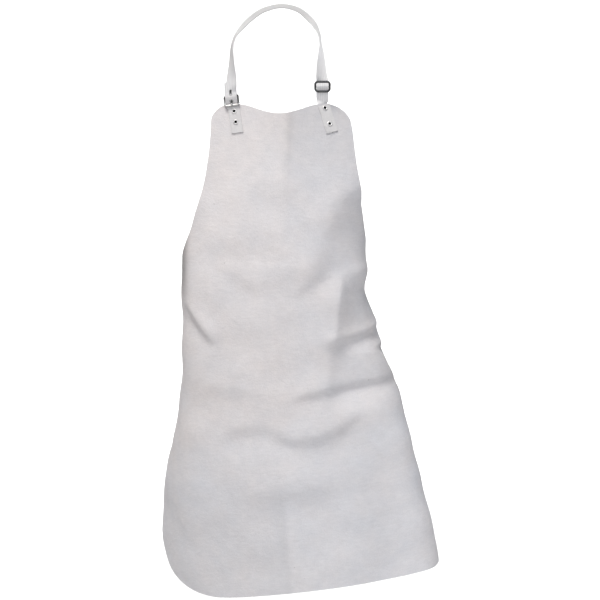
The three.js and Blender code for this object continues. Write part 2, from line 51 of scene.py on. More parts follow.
# %% [markdown]
# ## The camera
# The apron is seen almost straight from the front, from a little above the waist, through a long lens.
# A short lens would swell the middle. A long one far away keeps the sides as straight as they are.

# %% Camera
VIEW_MIDDLE = Vector((0.034, -0.150, -0.5905))
VIEW_DISTANCE = 4.0
VIEW_ABOVE = math.radians(5)
LENS_MM = 120
SENSOR_MM = 36

scene = bpy.context.scene
camera = bpy.data.objects.new("camera", bpy.data.cameras.new("camera"))
scene.collection.objects.link(camera)
camera.data.lens = LENS_MM
camera.data.sensor_width = SENSOR_MM
away = Vector((0, -math.cos(VIEW_ABOVE), math.sin(VIEW_ABOVE)))
camera.location = VIEW_MIDDLE + VIEW_DISTANCE * away
camera.rotation_euler = (math.pi / 2 - VIEW_ABOVE, 0, 0)
scene.camera = camera
print("camera at", [round(c, 3) for c in camera.location])

# %% [markdown]
# ## Helpers for tables and for meshes
# A table is a list of rows with named columns. Between two rows each column follows a smooth curve, the
# cubic Hermite curve through the rows, so a few rows are enough for a long soft shape.

# %% Tables and smooth steps
def rows_of(names, *rows):
    return [dict(zip(names, row)) for row in rows]


def ease(t):
    t = np.clip(t, 0, 1)
    return t * t * (3 - 2 * t)


# From 1 at nothing, softly down to nothing on both sides
def bell(x):
    return np.exp(-(x**2))


def slopes(values, knots):
    gaps = np.diff(knots)
    steps = np.diff(values) / gaps
    inner = (steps[:-1] * gaps[1:] + steps[1:] * gaps[:-1]) / (gaps[:-1] + gaps[1:])
    return np.concatenate([steps[:1], inner, steps[-1:]])


def between(rows, along, place):
    knots = np.array([row[along] for row in rows])
    k = np.clip(np.searchsorted(knots, place) - 1, 0, len(knots) - 2)
    gap = knots[k + 1] - knots[k]
    t = (place - knots[k]) / gap
    found = {}
    for name in rows[0]:
        values = np.array([row[name] for row in rows], float)
        m = slopes(values, knots)
        start = values[k] * (2 * t**3 - 3 * t**2 + 1) + m[k] * gap * (t**3 - 2 * t**2 + t)
        end = values[k + 1] * (3 * t**2 - 2 * t**3) + m[k + 1] * gap * (t**3 - t**2)
        found[name] = start + end
    return found


def unit(vectors):
    return vectors / np.linalg.norm(vectors, axis=-1, keepdims=True)


# %% Objects from meshes
def mesh_object(name, bm, materials):
    mesh = bpy.data.meshes.new(name)
    bm.to_mesh(mesh)
    bm.free()
    for material in materials:
        mesh.materials.append(material)
    mesh.polygons.foreach_set("use_smooth", [True] * len(mesh.polygons))
    made = bpy.data.objects.new(name, mesh)
    scene.collection.objects.link(made)
    print(f"{name}: {len(mesh.vertices)} points, {len(mesh.polygons)} faces")
    return made


def finish_object(name, bm, materials, node_names):
    piece = mesh_object(name, bm, materials)
    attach(piece, "root")
    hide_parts(*node_names)
    return piece


def thicken(piece, thickness, offset, rim_material):
    wall = piece.modifiers.new("wall", "SOLIDIFY")
    wall.thickness = thickness
    wall.offset = offset
    wall.material_offset_rim = rim_material


EDGE_WIDTH = 0.0005
EDGE_SEGMENTS = 2
EDGE_ANGLE = math.radians(40)


def round_edges(piece):
    edge = piece.modifiers.new("edge", "BEVEL")
    edge.width = EDGE_WIDTH
    edge.segments = EDGE_SEGMENTS
    edge.limit_method = "ANGLE"
    edge.angle_limit = EDGE_ANGLE


# %% Grids that keep their places on the flat cut
# The shares of a grid run from -1 to 1, across and up.
def new_grid(columns, rows):
    bm = bmesh.new()
    bmesh.ops.create_grid(bm, x_segments=columns, y_segments=rows, size=1)
    shares = np.array([vertex.co for vertex in bm.verts])
    return bm, shares[:, 0], shares[:, 1]


def move_to(bm, points):
    for vertex, point in zip(bm.verts, points):
        vertex.co = point


# A point that a later cut makes on an edge gets a place between those of the edge's ends.
def keep_flat(bm, u, v):
    across, down = bm.verts.layers.float.new("u"), bm.verts.layers.float.new("v")
    for vertex, at_u, at_v in zip(bm.verts, u, v):
        vertex[across], vertex[down] = at_u, at_v


def flat_places(bm):
    layers = bm.verts.layers.float["u"], bm.verts.layers.float["v"]
    return [np.array([vertex[layer] for vertex in bm.verts]) for layer in layers]


# %% Round holes
HOLE_SIDES = 16
HOLE_REACH = 4.0
CUT_WITHIN = 1e-7


# A hole with straight sides: cut along each side of a polygon round the axis, then take out the middle.
def cut_hole(bm, point, axis, radius):
    point, axis = Vector(point), Vector(axis).normalized()
    sideways = axis.orthogonal().normalized()
    reach = HOLE_REACH * radius

    def faces_within(distance):
        found = []
        for face in bm.faces:
            arm = face.calc_center_median() - point
            along = arm.dot(axis)
            if (arm - axis * along).length < distance and abs(along) < reach:
                found.append(face)
        return found

    for k in range(HOLE_SIDES):
        aside = Matrix.Rotation(2 * math.pi * k / HOLE_SIDES, 3, axis) @ sideways
        faces = faces_within(reach)
        edges = list(dict.fromkeys(e for f in faces for e in f.edges))
        verts = list(dict.fromkeys(v for f in faces for v in f.verts))
        bmesh.ops.bisect_plane(
            bm, geom=verts + edges + faces, dist=CUT_WITHIN, plane_co=point + aside * radius, plane_no=aside
        )
    inside = faces_within(radius * math.cos(math.pi / HOLE_SIDES))
    bmesh.ops.delete(bm, geom=inside, context="FACES")


print("holes are cut with", HOLE_SIDES, "sides, and edges are rounded by", EDGE_WIDTH, "m")

# %% [markdown]
# ## Helpers for materials
# A material is a small graph of nodes. These helpers add a node with its numbers, join two nodes, mix two
# colours and lay patterns over a colour, so that each finish below reads as a short recipe.

# %% Nodes
NOISE_ROUGHNESS = 0.6
BLACK, WHITE = (0, 0, 0), (1, 1, 1)


def new_material(name):
    material = bpy.data.materials.new(name)
    material.use_nodes = True
    return material, material.node_tree, material.node_tree.nodes["Principled BSDF"]


def set_inputs(node, **inputs):
    for name, value in inputs.items():
        node.inputs[name.replace("_", " ")].default_value = value


def add(tree, kind, settings=None, **inputs):
    made = tree.nodes.new(kind)
    for name, value in (settings or {}).items():
        setattr(made, name, value)
    set_inputs(made, **inputs)
    return made


def join(tree, source, output, target, entry):
    tree.links.new(source.outputs[output], target.inputs[entry])


def attribute(tree, name):
    return add(tree, "ShaderNodeAttribute", {"attribute_name": name})


def flat_map(tree):
    return add(tree, "ShaderNodeUVMap", {"uv_map": "cut"})


# %% Noises
# A noise on the flat cut that is read through a ramp from one colour or grey to another
def noise_ramp(tree, cut, scale, detail, low, high=WHITE, start=0.3, end=0.7, stretch=None):
    place, output = cut, "UV"
    if stretch:
        place, output = add(tree, "ShaderNodeMapping", Scale=stretch), "Vector"
        join(tree, cut, "UV", place, "Vector")
    noise = add(tree, "ShaderNodeTexNoise", Scale=scale, Detail=detail, Roughness=NOISE_ROUGHNESS)
    join(tree, place, output, noise, "Vector")
    ramp = add(tree, "ShaderNodeValToRGB")
    for stop, position, colour in zip(ramp.color_ramp.elements, (start, end), (low, high)):
        stop.position = position
        stop.color = (*colour, 1)
    join(tree, noise, "Fac", ramp, "Fac")
    return ramp


# A noise that fills space, for pieces without a flat cut
def solid_noise(tree, scale, detail):
    place = add(tree, "ShaderNodeTexCoord")
    noise = add(tree, "ShaderNodeTexNoise", Scale=scale, Detail=detail, Roughness=NOISE_ROUGHNESS)
    join(tree, place, "Object", noise, "Vector")
    return noise


# %% Mixes and bumps
# The mix node has sockets for numbers and directions too. These are the places of its colours.
MIX_FACTOR, MIX_FIRST, MIX_SECOND, MIX_RESULT = 0, 6, 7, 2


# Two colours mixed, or one laid over another, by a factor that is a number or an output
def mix_colours(tree, first, second, factor, blend="MIX"):
    mixer = add(tree, "ShaderNodeMix", {"data_type": "RGBA", "blend_type": blend})
    for entry, value in ((MIX_FACTOR, factor), (MIX_FIRST, first), (MIX_SECOND, second)):
        if isinstance(value, bpy.types.NodeSocket):
            tree.links.new(value, mixer.inputs[entry])
        else:
            mixer.inputs[entry].default_value = value
    return mixer.outputs[MIX_RESULT]


# Patterns laid over a colour, each as a shade
def shaded(tree, colour, *patterns):
    for pattern in patterns:
        colour = mix_colours(tree, colour, pattern.outputs["Color"], 1.0, "MULTIPLY")
    return colour


# Heights from several patterns, each with its own depth in metres, laid one on another
def bumps(tree, shader, *layers):
    last = None
    for pattern, distance in layers:
        bump = add(tree, "ShaderNodeBump", Strength=1.0, Distance=distance)
        join(tree, pattern, "Color", bump, "Height")
        if last:
            join(tree, last, "Normal", bump, "Normal")
        last = bump
    join(tree, last, "Normal", shader, "Normal")


# %% [markdown]
# ## Split leather
# Split leather is the inner layer of a hide: matt, with a short nap instead of a smooth grain, and not
# quite one colour. A photo texture could show it, but a mix of noises has no seams: soft warm and cool
# patches as wide as a hand, short fibres that run across the hide, a fine nap of a millimetre or two, and
# a few dark specks. The patterns read the map of the flat cut, in metres, so they bend with the leather.

# %% Dark specks
SPECK_SCALE = 34
SPECK_INNER, SPECK_OUTER = 0.03, 0.055
SPECK_RARITY = 0.72
SPECK_COLOUR = (0.22, 0.2, 0.18, 1)


# A soft dot in the middle of a few of the cells that the pattern has
def speck_amount(tree, cut, depth):
    specks = add(tree, "ShaderNodeTexVoronoi", {"feature": "F1"}, Scale=SPECK_SCALE)
    join(tree, cut, "UV", specks, "Vector")
    dark = add(
        tree, "ShaderNodeMapRange", From_Min=SPECK_INNER, From_Max=SPECK_OUTER, To_Min=depth, To_Max=0.0
    )
    join(tree, specks, "Distance", dark, "Value")
    rare = add(tree, "ShaderNodeMath", {"operation": "GREATER_THAN"})
    rare.inputs[1].default_value = SPECK_RARITY
    join(tree, specks, "Color", rare, 0)
    amount = add(tree, "ShaderNodeMath", {"operation": "MULTIPLY"})
    join(tree, dark, "Result", amount, 0)
    join(tree, rare, "Value", amount, 1)
    return amount.outputs["Value"]


# %% Leather finishes
PATCH_SHARE = 0.45
NAP_TO_PITS = 3


def split_leather(name, warm, cool, speck_depth=0.35, pit_depth=0.0005):
    material, tree, shader = new_material(name)
    cut = flat_map(tree)
    tone, depth = attribute(tree, "tone"), attribute(tree, "depth")
    patches = noise_ramp(tree, cut, scale=11, detail=4, low=BLACK)
    warmth = mix_colours(tree, tone.outputs["Color"], patches.outputs["Color"], PATCH_SHARE)
    colour = mix_colours(tree, (*cool, 1), (*warm, 1), warmth)
    cloud = noise_ramp(tree, cut, scale=46, detail=5, low=(0.93, 0.93, 0.935))
    nap = noise_ramp(tree, cut, scale=420, detail=4, low=(0.885, 0.885, 0.89), start=0.25, end=0.75)
    fibres = noise_ramp(tree, cut, scale=200, detail=3, low=(0.94, 0.94, 0.94), stretch=(0.3, 1, 1))
    colour = shaded(tree, colour, depth, cloud, nap, fibres)
    colour = mix_colours(tree, colour, SPECK_COLOUR, speck_amount(tree, cut, speck_depth))
    tree.links.new(colour, shader.inputs["Base Color"])
    smooth, matt = (0.82, 0.82, 0.82), (0.95, 0.95, 0.95)
    rough = noise_ramp(tree, cut, scale=60, detail=3, low=smooth, high=matt, start=0.35, end=0.65)
    join(tree, rough, "Color", shader, "Roughness")
    set_inputs(shader, Specular_IOR_Level=0.2, Sheen_Weight=0.09, Sheen_Roughness=0.6)
    pits = noise_ramp(tree, cut, scale=150, detail=4, low=BLACK, start=0.2, end=0.8)
    bumps(tree, shader, (pits, pit_depth), (nap, pit_depth * NAP_TO_PITS))
    return material


LEATHER_WARM = (0.83, 0.776, 0.762)
LEATHER_COOL = (0.737, 0.740, 0.775)
leather = split_leather("split_leather", LEATHER_WARM, LEATHER_COOL)
CUT_EDGE_WARM = (0.6, 0.575, 0.57)
CUT_EDGE_COOL = (0.55, 0.535, 0.54)
leather_edge = split_leather("leather_cut_edge", CUT_EDGE_WARM, CUT_EDGE_COOL)
TAB_WARM = (0.72, 0.70, 0.695)
TAB_COOL = (0.68, 0.67, 0.675)
tab_leather = split_leather("tab_leather", TAB_WARM, TAB_COOL, speck_depth=0.0, pit_depth=0.0003)
print("leathers:", leather.name, leather_edge.name, tab_leather.name)

# %% [markdown]
# ## The flat leather and the way it hangs
# The apron is one flat piece, 80 by 100 cm, with a bib and two cut-away armholes. A place on it is u, the
# distance across from its middle line, and v, the distance down. Worn, each level of the leather is a row
# that starts on the middle line and bends back round the sides. A cloth simulation could find such a
# shape, but not this one exactly, so a table gives each level's place, lean and turn.

# %% The flat cut
LEATHER = 0.0015
CUT_LENGTH = 1.0
CUT_HALF = 0.4
BIB_HALF = 0.144
BIB_CORNER = 0.03
ARMHOLE_TOP = 0.02
ARMHOLE_END = 0.385
ARMHOLE_POWER = 2.3
HEM_CORNER_ACROSS = 0.185
HEM_CORNER_UP = 0.14
NECK_MIDDLE = -0.005
NECK_HALF = 0.092
NECK_DIP = 0.02
SHOULDER_DROP = 0.01
NECK_FADE = 0.12


def half_width(v):
    arm = np.clip((v - ARMHOLE_TOP) / (ARMHOLE_END - ARMHOLE_TOP), 0, 1) ** ARMHOLE_POWER
    side = CUT_HALF - (CUT_HALF - BIB_HALF) * np.sqrt(1 - arm)
    low = np.clip((v - CUT_LENGTH + HEM_CORNER_UP) / HEM_CORNER_UP, 0, 1)
    hem = CUT_HALF - HEM_CORNER_ACROSS * (1 - np.sqrt(1 - low**2))
    high = np.clip((BIB_CORNER - v) / BIB_CORNER, 0, 1)
    return np.minimum(side, hem) - BIB_CORNER * (1 - np.sqrt(1 - high**2))


def top_edge(u):
    off = np.abs(u - NECK_MIDDLE)
    dip = NECK_DIP / 2 * (1 + np.cos(np.pi * np.clip(off / NECK_HALF, 0, 1)))
    return dip + SHOULDER_DROP * ease((off - NECK_HALF) / (BIB_HALF - NECK_HALF))


# %% The worn sections
SIDE_ROLL = 0.17
HEADING_STEPS = 48
BOW_SPAN = 0.1

# Lean, bow and turns are in degrees, and the bow is for each BOW_SPAN of leather. The rest is in metres.
SECTIONS = rows_of(
    ("level", "x", "y", "z", "lean", "bow", "left_start", "left_turn", "right_start", "right_turn"),
    (0, -0.002, -0.118, -0.199, 0, 8, 0.060, 12, 0.030, 76),
    (0.08, -0.002, -0.138, -0.276, 0, 8, 0.080, 18, 0.075, 24),
    (0.18, -0.002, -0.160, -0.372, 0, 8, 0.095, 44, 0.101, 58),
    (0.28, 0, -0.178, -0.468, 1, 9, 0.122, 80, 0.085, 84),
    (0.38, 0.004, -0.190, -0.564, 3, 9, 0.136, 90, 0.092, 88),
    (0.48, 0.013, -0.200, -0.659, 5, 9, 0.140, 84, 0.104, 85),
    (0.60, 0.028, -0.214, -0.773, 7, 10, 0.160, 68, 0.123, 82),
    (0.74, 0.050, -0.232, -0.907, 8, 11, 0.198, 42, 0.141, 82),
    (0.88, 0.072, -0.250, -1.040, 8, 12, 0.210, 22, 0.160, 84),
    (1.00, 0.090, -0.264, -1.152, 8, 13, 0.216, 10, 0.171, 86),
)


# The row's heading is added up from the middle line outwards.
def draped(u, v):
    row = between(SECTIONS, "level", v)
    across = np.zeros_like(u)
    back = np.zeros_like(u)
    for k in range(HEADING_STEPS):
        at = u * (k + 0.5) / HEADING_STEPS
        right = row["right_turn"] * ease((at - row["right_start"]) / SIDE_ROLL)
        left = row["left_turn"] * ease((-at - row["left_start"]) / SIDE_ROLL)
        heading = np.radians(row["bow"] * at / BOW_SPAN + np.where(at > 0, right, -left))
        across += np.cos(heading) * u / HEADING_STEPS
        back += np.sin(heading) * u / HEADING_STEPS
    lean = np.radians(row["lean"])
    places = (row["x"] + across * np.cos(lean), row["y"] + back, row["z"] + across * np.sin(lean))
    return np.stack(places, axis=-1)


print(len(SECTIONS), "levels of the worn leather")

# %% [markdown]
# ## Folds, dents and creases
# Where the wearer bends, the leather buckles into folds that swell above a line and tuck in below it.
# Each row of the table is one such fold, from one place on the leather to another. A dent is a flat
# facet at the side. Sculpting brushes could press these in, but numbers can be set against the real
# folds one by one. The soft sway is a sum of a few long waves, so no part of the leather is quite flat.

# %% Folds and dents
FOLDS = rows_of(
    ("fold", "from_u", "from_v", "to_u", "to_v", "bow", "depth", "above", "below", "edge"),
    ("waist crease", -0.170, 0.318, 0.100, 0.326, 0.010, -0.0011, 0.045, 0.060, 0.010),
    ("waist left", -0.135, 0.330, -0.035, 0.400, 0, 0.0019, 0.040, 0.040, 0.011),
    ("waist right", 0.000, 0.410, 0.105, 0.340, 0, 0.0019, 0.040, 0.040, 0.011),
    ("hip upper right", 0.040, 0.510, 0.300, 0.478, -0.004, 0.0052, 0.016, 0.060, 0.009),
    ("hip lower right", -0.055, 0.623, 0.275, 0.600, -0.014, 0.0037, 0.040, 0.035, 0.006),
    ("thigh left", -0.180, 0.686, -0.006, 0.700, -0.030, 0.0031, 0.036, 0.050, 0.012),
    ("thigh right", -0.095, 0.674, 0.140, 0.644, 0.038, 0.0044, 0.036, 0.060, 0.011),
    ("hip left", -0.222, 0.395, -0.146, 0.496, 0, 0.0066, 0.026, 0.036, 0.007),
    ("ridge left", -0.190, 0.545, -0.030, 0.590, 0, -0.0016, 0.040, 0.030, 0.008),
    ("knee", -0.280, 0.790, 0.330, 0.822, 0, 0.0014, 0.060, 0.060, 0.014),
)
DENTS = rows_of(
    ("dent", "top_u", "top_v", "bottom_u", "bottom_v", "depth", "span")
    + ("soft_top", "soft_bottom", "soft_side"),
    ("side of the bib", 0.123, 0.170, 0.024, 0.440, 0.0130, 0.175, 0.045, 0.110, 0.040),
    ("side of the waist", 0.122, 0.345, 0.084, 0.535, 0.0235, 0.190, 0.060, 0.045, 0.010),
    ("front of the hip", 0.079, 0.492, 0.055, 0.660, 0.0150, 0.190, 0.040, 0.070, 0.016),
    ("side of the hip", 0.190, 0.518, 0.262, 0.660, 0.0080, 0.130, 0.014, 0.060, 0.020),
)
print(len(FOLDS), "folds and", len(DENTS), "dents")

# %% The relief of the folds
FOLD_END = 0.3


# The share of the way along a fold or crease, and the distance off it
def along_line(line, u, v):
    du, dv = line["to_u"] - line["from_u"], line["to_v"] - line["from_v"]
    length = math.hypot(du, dv)
    share = ((u - line["from_u"]) * du + (v - line["from_v"]) * dv) / length**2
    off = ((v - line["from_v"]) * du - (u - line["from_u"]) * dv) / length
    return share, off


def fading_ends(share):
    return ease(share / FOLD_END) * ease((1 - share) / FOLD_END)


# A bow of 4 x (1 - x) is highest half way along, where it is 1.
def fold_heights(u, v):
    height = np.zeros_like(u)
    for fold in FOLDS:
        share, off = along_line(fold, u, v)
        off = off - fold["bow"] * 4 * share * (1 - share)
        fade = bell(off / np.where(off < 0, fold["above"], fold["below"]))
        height -= fold["depth"] * np.tanh(off / fold["edge"]) * fade * fading_ends(share)
    return height


# %% The relief of the dents and the worn leather
# A dent's section is x times the square of 1 - x, which is highest a third of the way, at 4/27.
DENT_PEAK = 27 / 4
FINE_STEP = 0.001


def dent_depths(u, v):
    depth = np.zeros_like(u)
    for dent in DENTS:
        length = dent["bottom_v"] - dent["top_v"]
        down = (v - dent["top_v"]) / length
        soft = dent["soft_side"]
        past = np.maximum(u - dent["top_u"] - (dent["bottom_u"] - dent["top_u"]) * down + soft / 2, 0)
        x = np.clip(np.where(past < soft, past**2 / (2 * soft), past - soft / 2) / dent["span"], 0, 1)
        ends = ease(down * length / dent["soft_top"]) * ease((1 - down) * length / dent["soft_bottom"])
        depth += dent["depth"] * DENT_PEAK * x * (1 - x) ** 2 * ends
    return depth


def outward(u, v, place):
    across = place(u + FINE_STEP, v) - place(u - FINE_STEP, v)
    up = place(u, v - FINE_STEP) - place(u, v + FINE_STEP)
    return unit(np.cross(across, up))


def worn(u, v):
    relief = fold_heights(u, v) - dent_depths(u, v)
    return draped(u, v) + outward(u, v, draped) * relief[..., None]


top_middle = worn(np.zeros(1), np.zeros(1))[0]
print("top of the bib at", top_middle.round(3).tolist())

# %% The packing creases, the swells and the sway
CREASES = rows_of(
    ("crease", "from_u", "from_v", "to_u", "to_v", "height", "reach", "sharp"),
    ("bib crease", 0.017, -0.02, 0.004, 0.260, 0.0030, 0.030, 0.003),
    ("hem crease", -0.062, 0.730, -0.078, 1.030, -0.0035, 0.040, 0.003),
)
SWELLS = rows_of(
    ("swell", "u", "v", "height", "across", "down"),
    ("belly hollow", -0.018, 0.420, -0.0028, 0.034, 0.060),
    ("left thigh", -0.075, 0.778, 0.0062, 0.130, 0.055),
    ("left hip", -0.120, 0.560, 0.0030, 0.060, 0.030),
)
SWAYS = rows_of(
    ("across", "down", "phase", "height"),
    (5.2, 3.1, 0.3, 0.0009),
    (-3.4, 6.3, 1.9, 0.0009),
    (8.7, 2.2, 4.1, 0.0006),
    (2.6, 11.3, 2.7, 0.0006),
    (-9.1, 8.2, 5.2, 0.0004),
)
SWAY_FROM = 0.10


def crease_heights(u, v):
    height = np.zeros_like(u)
    for crease in CREASES:
        share, off = along_line(crease, u, v)
        roof = np.exp(-(np.sqrt(off**2 + crease["sharp"] ** 2) - crease["sharp"]) / crease["reach"])
        height += crease["height"] * roof * fading_ends(share)
    return height


# A soft round place that fades from 1 in its middle to nothing
def spot(row, u, v, power=2):
    return np.exp(-(((u - row["u"]) / row["across"]) ** power) - ((v - row["v"]) / row["down"]) ** power)


def swell_heights(u, v):
    return sum(row["height"] * spot(row, u, v) for row in SWELLS)


def sway(u, v):
    waves = sum(
        row["height"] * np.sin(2 * np.pi * (row["across"] * u + row["down"] * v) + row["phase"])
        for row in SWAYS
    )
    return waves * ease((v - SWAY_FROM) / SWAY_FROM)


def hung(u, v):
    lift = sway(u, v) + crease_heights(u, v) + swell_heights(u, v)
    return worn(u, v) + outward(u, v, draped) * lift[..., None]


print(len(CREASES), "creases,", len(SWELLS), "swells and", len(SWAYS), "waves")

# %% [markdown]
# ## The places of the tabs and rivets
# The billet at one side and the tab at the other lie on the bib, and hollow rivets go through them. Their
# places on the flat leather are the driving sizes. The leather's own shape gives each rivet its axis.

# %% Tabs and rivets on the bib
GAP = 0.0003
RIVET_SHANK = 0.0032
TAB = 0.0018
TAB_WIDTH = 0.024
TAB_LIFT = 0.0004
TAB_TOP = TAB_LIFT + TAB
BILLET_WIDTH = 0.0234
BILLET = {"top_u": -0.098, "top_v": 0.003, "bottom_u": -0.089, "bottom_v": 0.061}
RIGHT_TAB = {"top_u": 0.0845, "top_v": 0.004, "bottom_u": 0.1005, "bottom_v": 0.060}
BILLET_RIVETS = (0.0165, 0.039)
TAB_RIVETS = (0.010, 0.0425)


def tab_slope(tab):
    return (tab["bottom_u"] - tab["top_u"]) / (tab["bottom_v"] - tab["top_v"])


def tab_middle(tab, v):
    return tab["top_u"] + tab_slope(tab) * (v - tab["top_v"])


def rivet_at(tab, v):
    u, v = np.array([tab_middle(tab, v)]), np.array([v])
    return Vector(worn(u, v)[0]), Vector(outward(u, v, worn)[0])


def rivet_holes(bm, rivets, lift):
    for point, axis in rivets:
        cut_hole(bm, point + axis * lift, axis, RIVET_SHANK + GAP)


left_rivets = [rivet_at(BILLET, v) for v in BILLET_RIVETS]
right_rivets = [rivet_at(RIGHT_TAB, v) for v in TAB_RIVETS]
print("rivets at", [tuple(round(c, 3) for c in point) for point, axis in left_rivets + right_rivets])

# %% [markdown]
# ## The leather sheet
# A grid is the plainest start for a sheet. Its middle columns fan out a little and its outer ones follow
# the edge of the cut, its rows crowd where the outline turns, and every point is then moved to where the
# worn leather is. Solidify gives it its 1.5 mm, with a separate finish on the raw cut edge.

# %% The grid of the sheet
SHEET_COLUMNS = 192
BIB_CORNER_ROWS = 8
ARMHOLE_ROWS = 84
SKIRT_ROWS = 108
HEM_CORNER_ROWS = 26
MIDDLE_SHARE = 0.45
MIDDLE_AT_BIB = 0.062
MIDDLE_AT_SKIRT = 0.18


def sheet_levels():
    angle = np.linspace(0, np.pi / 2, BIB_CORNER_ROWS + 1)[:-1]
    bib = BIB_CORNER * (1 - np.cos(angle))
    first = math.asin((BIB_CORNER - ARMHOLE_TOP) / (ARMHOLE_END - ARMHOLE_TOP))
    angle = np.linspace(first, np.pi / 2, ARMHOLE_ROWS + 1)[:-1]
    armhole = ARMHOLE_TOP + (ARMHOLE_END - ARMHOLE_TOP) * np.sin(angle)
    skirt = np.linspace(ARMHOLE_END, CUT_LENGTH - HEM_CORNER_UP, SKIRT_ROWS + 1)[:-1]
    angle = np.linspace(0, np.pi / 2, HEM_CORNER_ROWS + 1)
    hem = CUT_LENGTH - HEM_CORNER_UP * (1 - np.sin(angle))
    return np.concatenate([bib, armhole, skirt, hem])


def column_at(share, level):
    middle = MIDDLE_AT_BIB + (MIDDLE_AT_SKIRT - MIDDLE_AT_BIB) * np.clip(level / ARMHOLE_END, 0, 1)
    outer = middle + (half_width(level) - middle) * (share - MIDDLE_SHARE) / (1 - MIDDLE_SHARE)
    return np.where(share <= MIDDLE_SHARE, middle * share / MIDDLE_SHARE, outer)


print(len(sheet_levels()), "levels of points,", SHEET_COLUMNS, "faces across")


# %% Soft pieces
def give_map(piece, u, v):
    loops = np.zeros(len(piece.data.loops), np.int32)
    piece.data.loops.foreach_get("vertex_index", loops)
    layer = piece.data.uv_layers.new(name="cut")
    layer.data.foreach_set("uv", np.stack([u[loops], -v[loops]], axis=-1).ravel().astype(np.float32))


def give_values(piece, name, values):
    layer = piece.data.attributes.new(name, "FLOAT", "POINT")
    layer.data.foreach_set("value", values.astype(np.float32))


# A sheet, strap or tab is a thin mesh with a map, some values and a wall. The last finish is for the rim.
def soft_piece(name, bm, materials, node_names, slot_name, wall, offset=0, **values):
    u, v = flat_places(bm)
    piece = finish_object(name, bm, materials, node_names)
    give_map(piece, u, v)
    for value_name, numbers in values.items():
        give_values(piece, value_name, numbers)
    thicken(piece, wall, offset, len(materials) - 1)
    return piece


# %% Painted light and shade on the hide
# Painted shade by level: the top of the bib is painted darker than the rest of the hide.
HIDE_PAINTED_SHADE_BY_LEVEL = rows_of(
    ("level", "share"),
    (0, 0.92),
    (0.06, 0.95),
    (0.15, 0.995),
    (0.3, 1.01),
    (0.5, 1.0),
    (1, 0.99),
)
# Painted shade in soft spots: a dark edge at the left of the waist, where the leather turns away, and
# shaded patches at the sides of the waist and hips.
PAINTED_SHADE_SPOTS = rows_of(
    ("shade_spot", "u", "v", "across", "down", "depth"),
    ("left of the waist", -0.240, 0.320, 0.034, 0.072, 0.5),
    ("right of the hip", 0.222, 0.560, 0.040, 0.044, 0.1),
    ("right of the waist", 0.165, 0.450, 0.050, 0.055, 0.07),
    ("front of the hip", 0.150, 0.552, 0.042, 0.028, 0.06),
    ("left of the hip", -0.160, 0.540, 0.060, 0.075, 0.035),
)
SHADE_SPOT_POWER = 4
# Painted shade below the neck dip, beside and along the packing creases, and at the bib's top corner.
NECK_SHADE = {"depth": 0.05, "u": -0.008, "v": 0.03, "across": 0.035, "down": 0.05}
CREASE_SHADE_REACH = 0.008
BIB_SHADE = {"step": 0.02, "across": 0.1, "line": 0.13, "down": 0.15, "corner": 0.08, "corner_down": 0.1}
HEM_SHADE = {"step": 0.03, "line": 0.05, "from_v": 0.74, "over_v": 0.1}
# Painted light: the lower skirt is painted paler along its right side, where it turns away from the light.
SIDE_PAINTED_LIGHT = {"share": 0.13, "from_u": 0.10, "over_u": 0.12, "from_v": 0.6, "over_v": 0.1}
bib_crease, hem_crease = CREASES


# Painted shade: the hide is painted a little darker on one side of each packing crease than on the other,
# and darkest along it, where the crease is shaded.
def beside_crease(crease, u, v):
    down = (v - crease["from_v"]) / (crease["to_v"] - crease["from_v"])
    middle = crease["from_u"] + (crease["to_u"] - crease["from_u"]) * down
    return np.tanh((u - middle) / CREASE_SHADE_REACH)


def bib_shade(u, v):
    beside = beside_crease(bib_crease, u, v)
    step = BIB_SHADE["step"] * beside * bell(u / BIB_SHADE["across"])
    line = BIB_SHADE["line"] * (1 - beside**2)
    corner = BIB_SHADE["corner"] * np.maximum(beside, 0) * bell(v / BIB_SHADE["corner_down"])
    return (step + line) * bell(v / BIB_SHADE["down"]) + corner


# The depth of colour of the hide is painted light and shade: by level, in soft spots, along the creases and
# at the side.
def hide_painted_light_and_shade(u, v):
    beside = beside_crease(hem_crease, u, v)
    hem = HEM_SHADE["step"] * beside - HEM_SHADE["line"] * (1 - beside**2)
    hem = hem * ease((v - HEM_SHADE["from_v"]) / HEM_SHADE["over_v"])
    # painted light along the right side of the skirt
    pale = SIDE_PAINTED_LIGHT["share"] * ease((u - SIDE_PAINTED_LIGHT["from_u"]) / SIDE_PAINTED_LIGHT["over_u"])
    pale = pale * ease((v - SIDE_PAINTED_LIGHT["from_v"]) / SIDE_PAINTED_LIGHT["over_v"])
    shade_spot = sum(row["depth"] * spot(row, u, v, SHADE_SPOT_POWER) for row in PAINTED_SHADE_SPOTS)
    neck = NECK_SHADE["depth"] * spot(NECK_SHADE, u, v)
    return between(HIDE_PAINTED_SHADE_BY_LEVEL, "level", v)["share"] + hem + pale - bib_shade(u, v) - neck - shade_spot


print(len(PAINTED_SHADE_SPOTS), "darkened places")

# %% The tone of the hide, with painted light and shade
TONE_MIDDLE = 0.6
TONE_ACROSS = {"share": 0.3, "reach": 0.12}
TONE_CREASE_SHADE = {"share": 0.2, "right": 0.15, "down": 0.24}
TONE_SKIRT = {"share": 0.7, "from_v": 0.62, "over_v": 0.16}


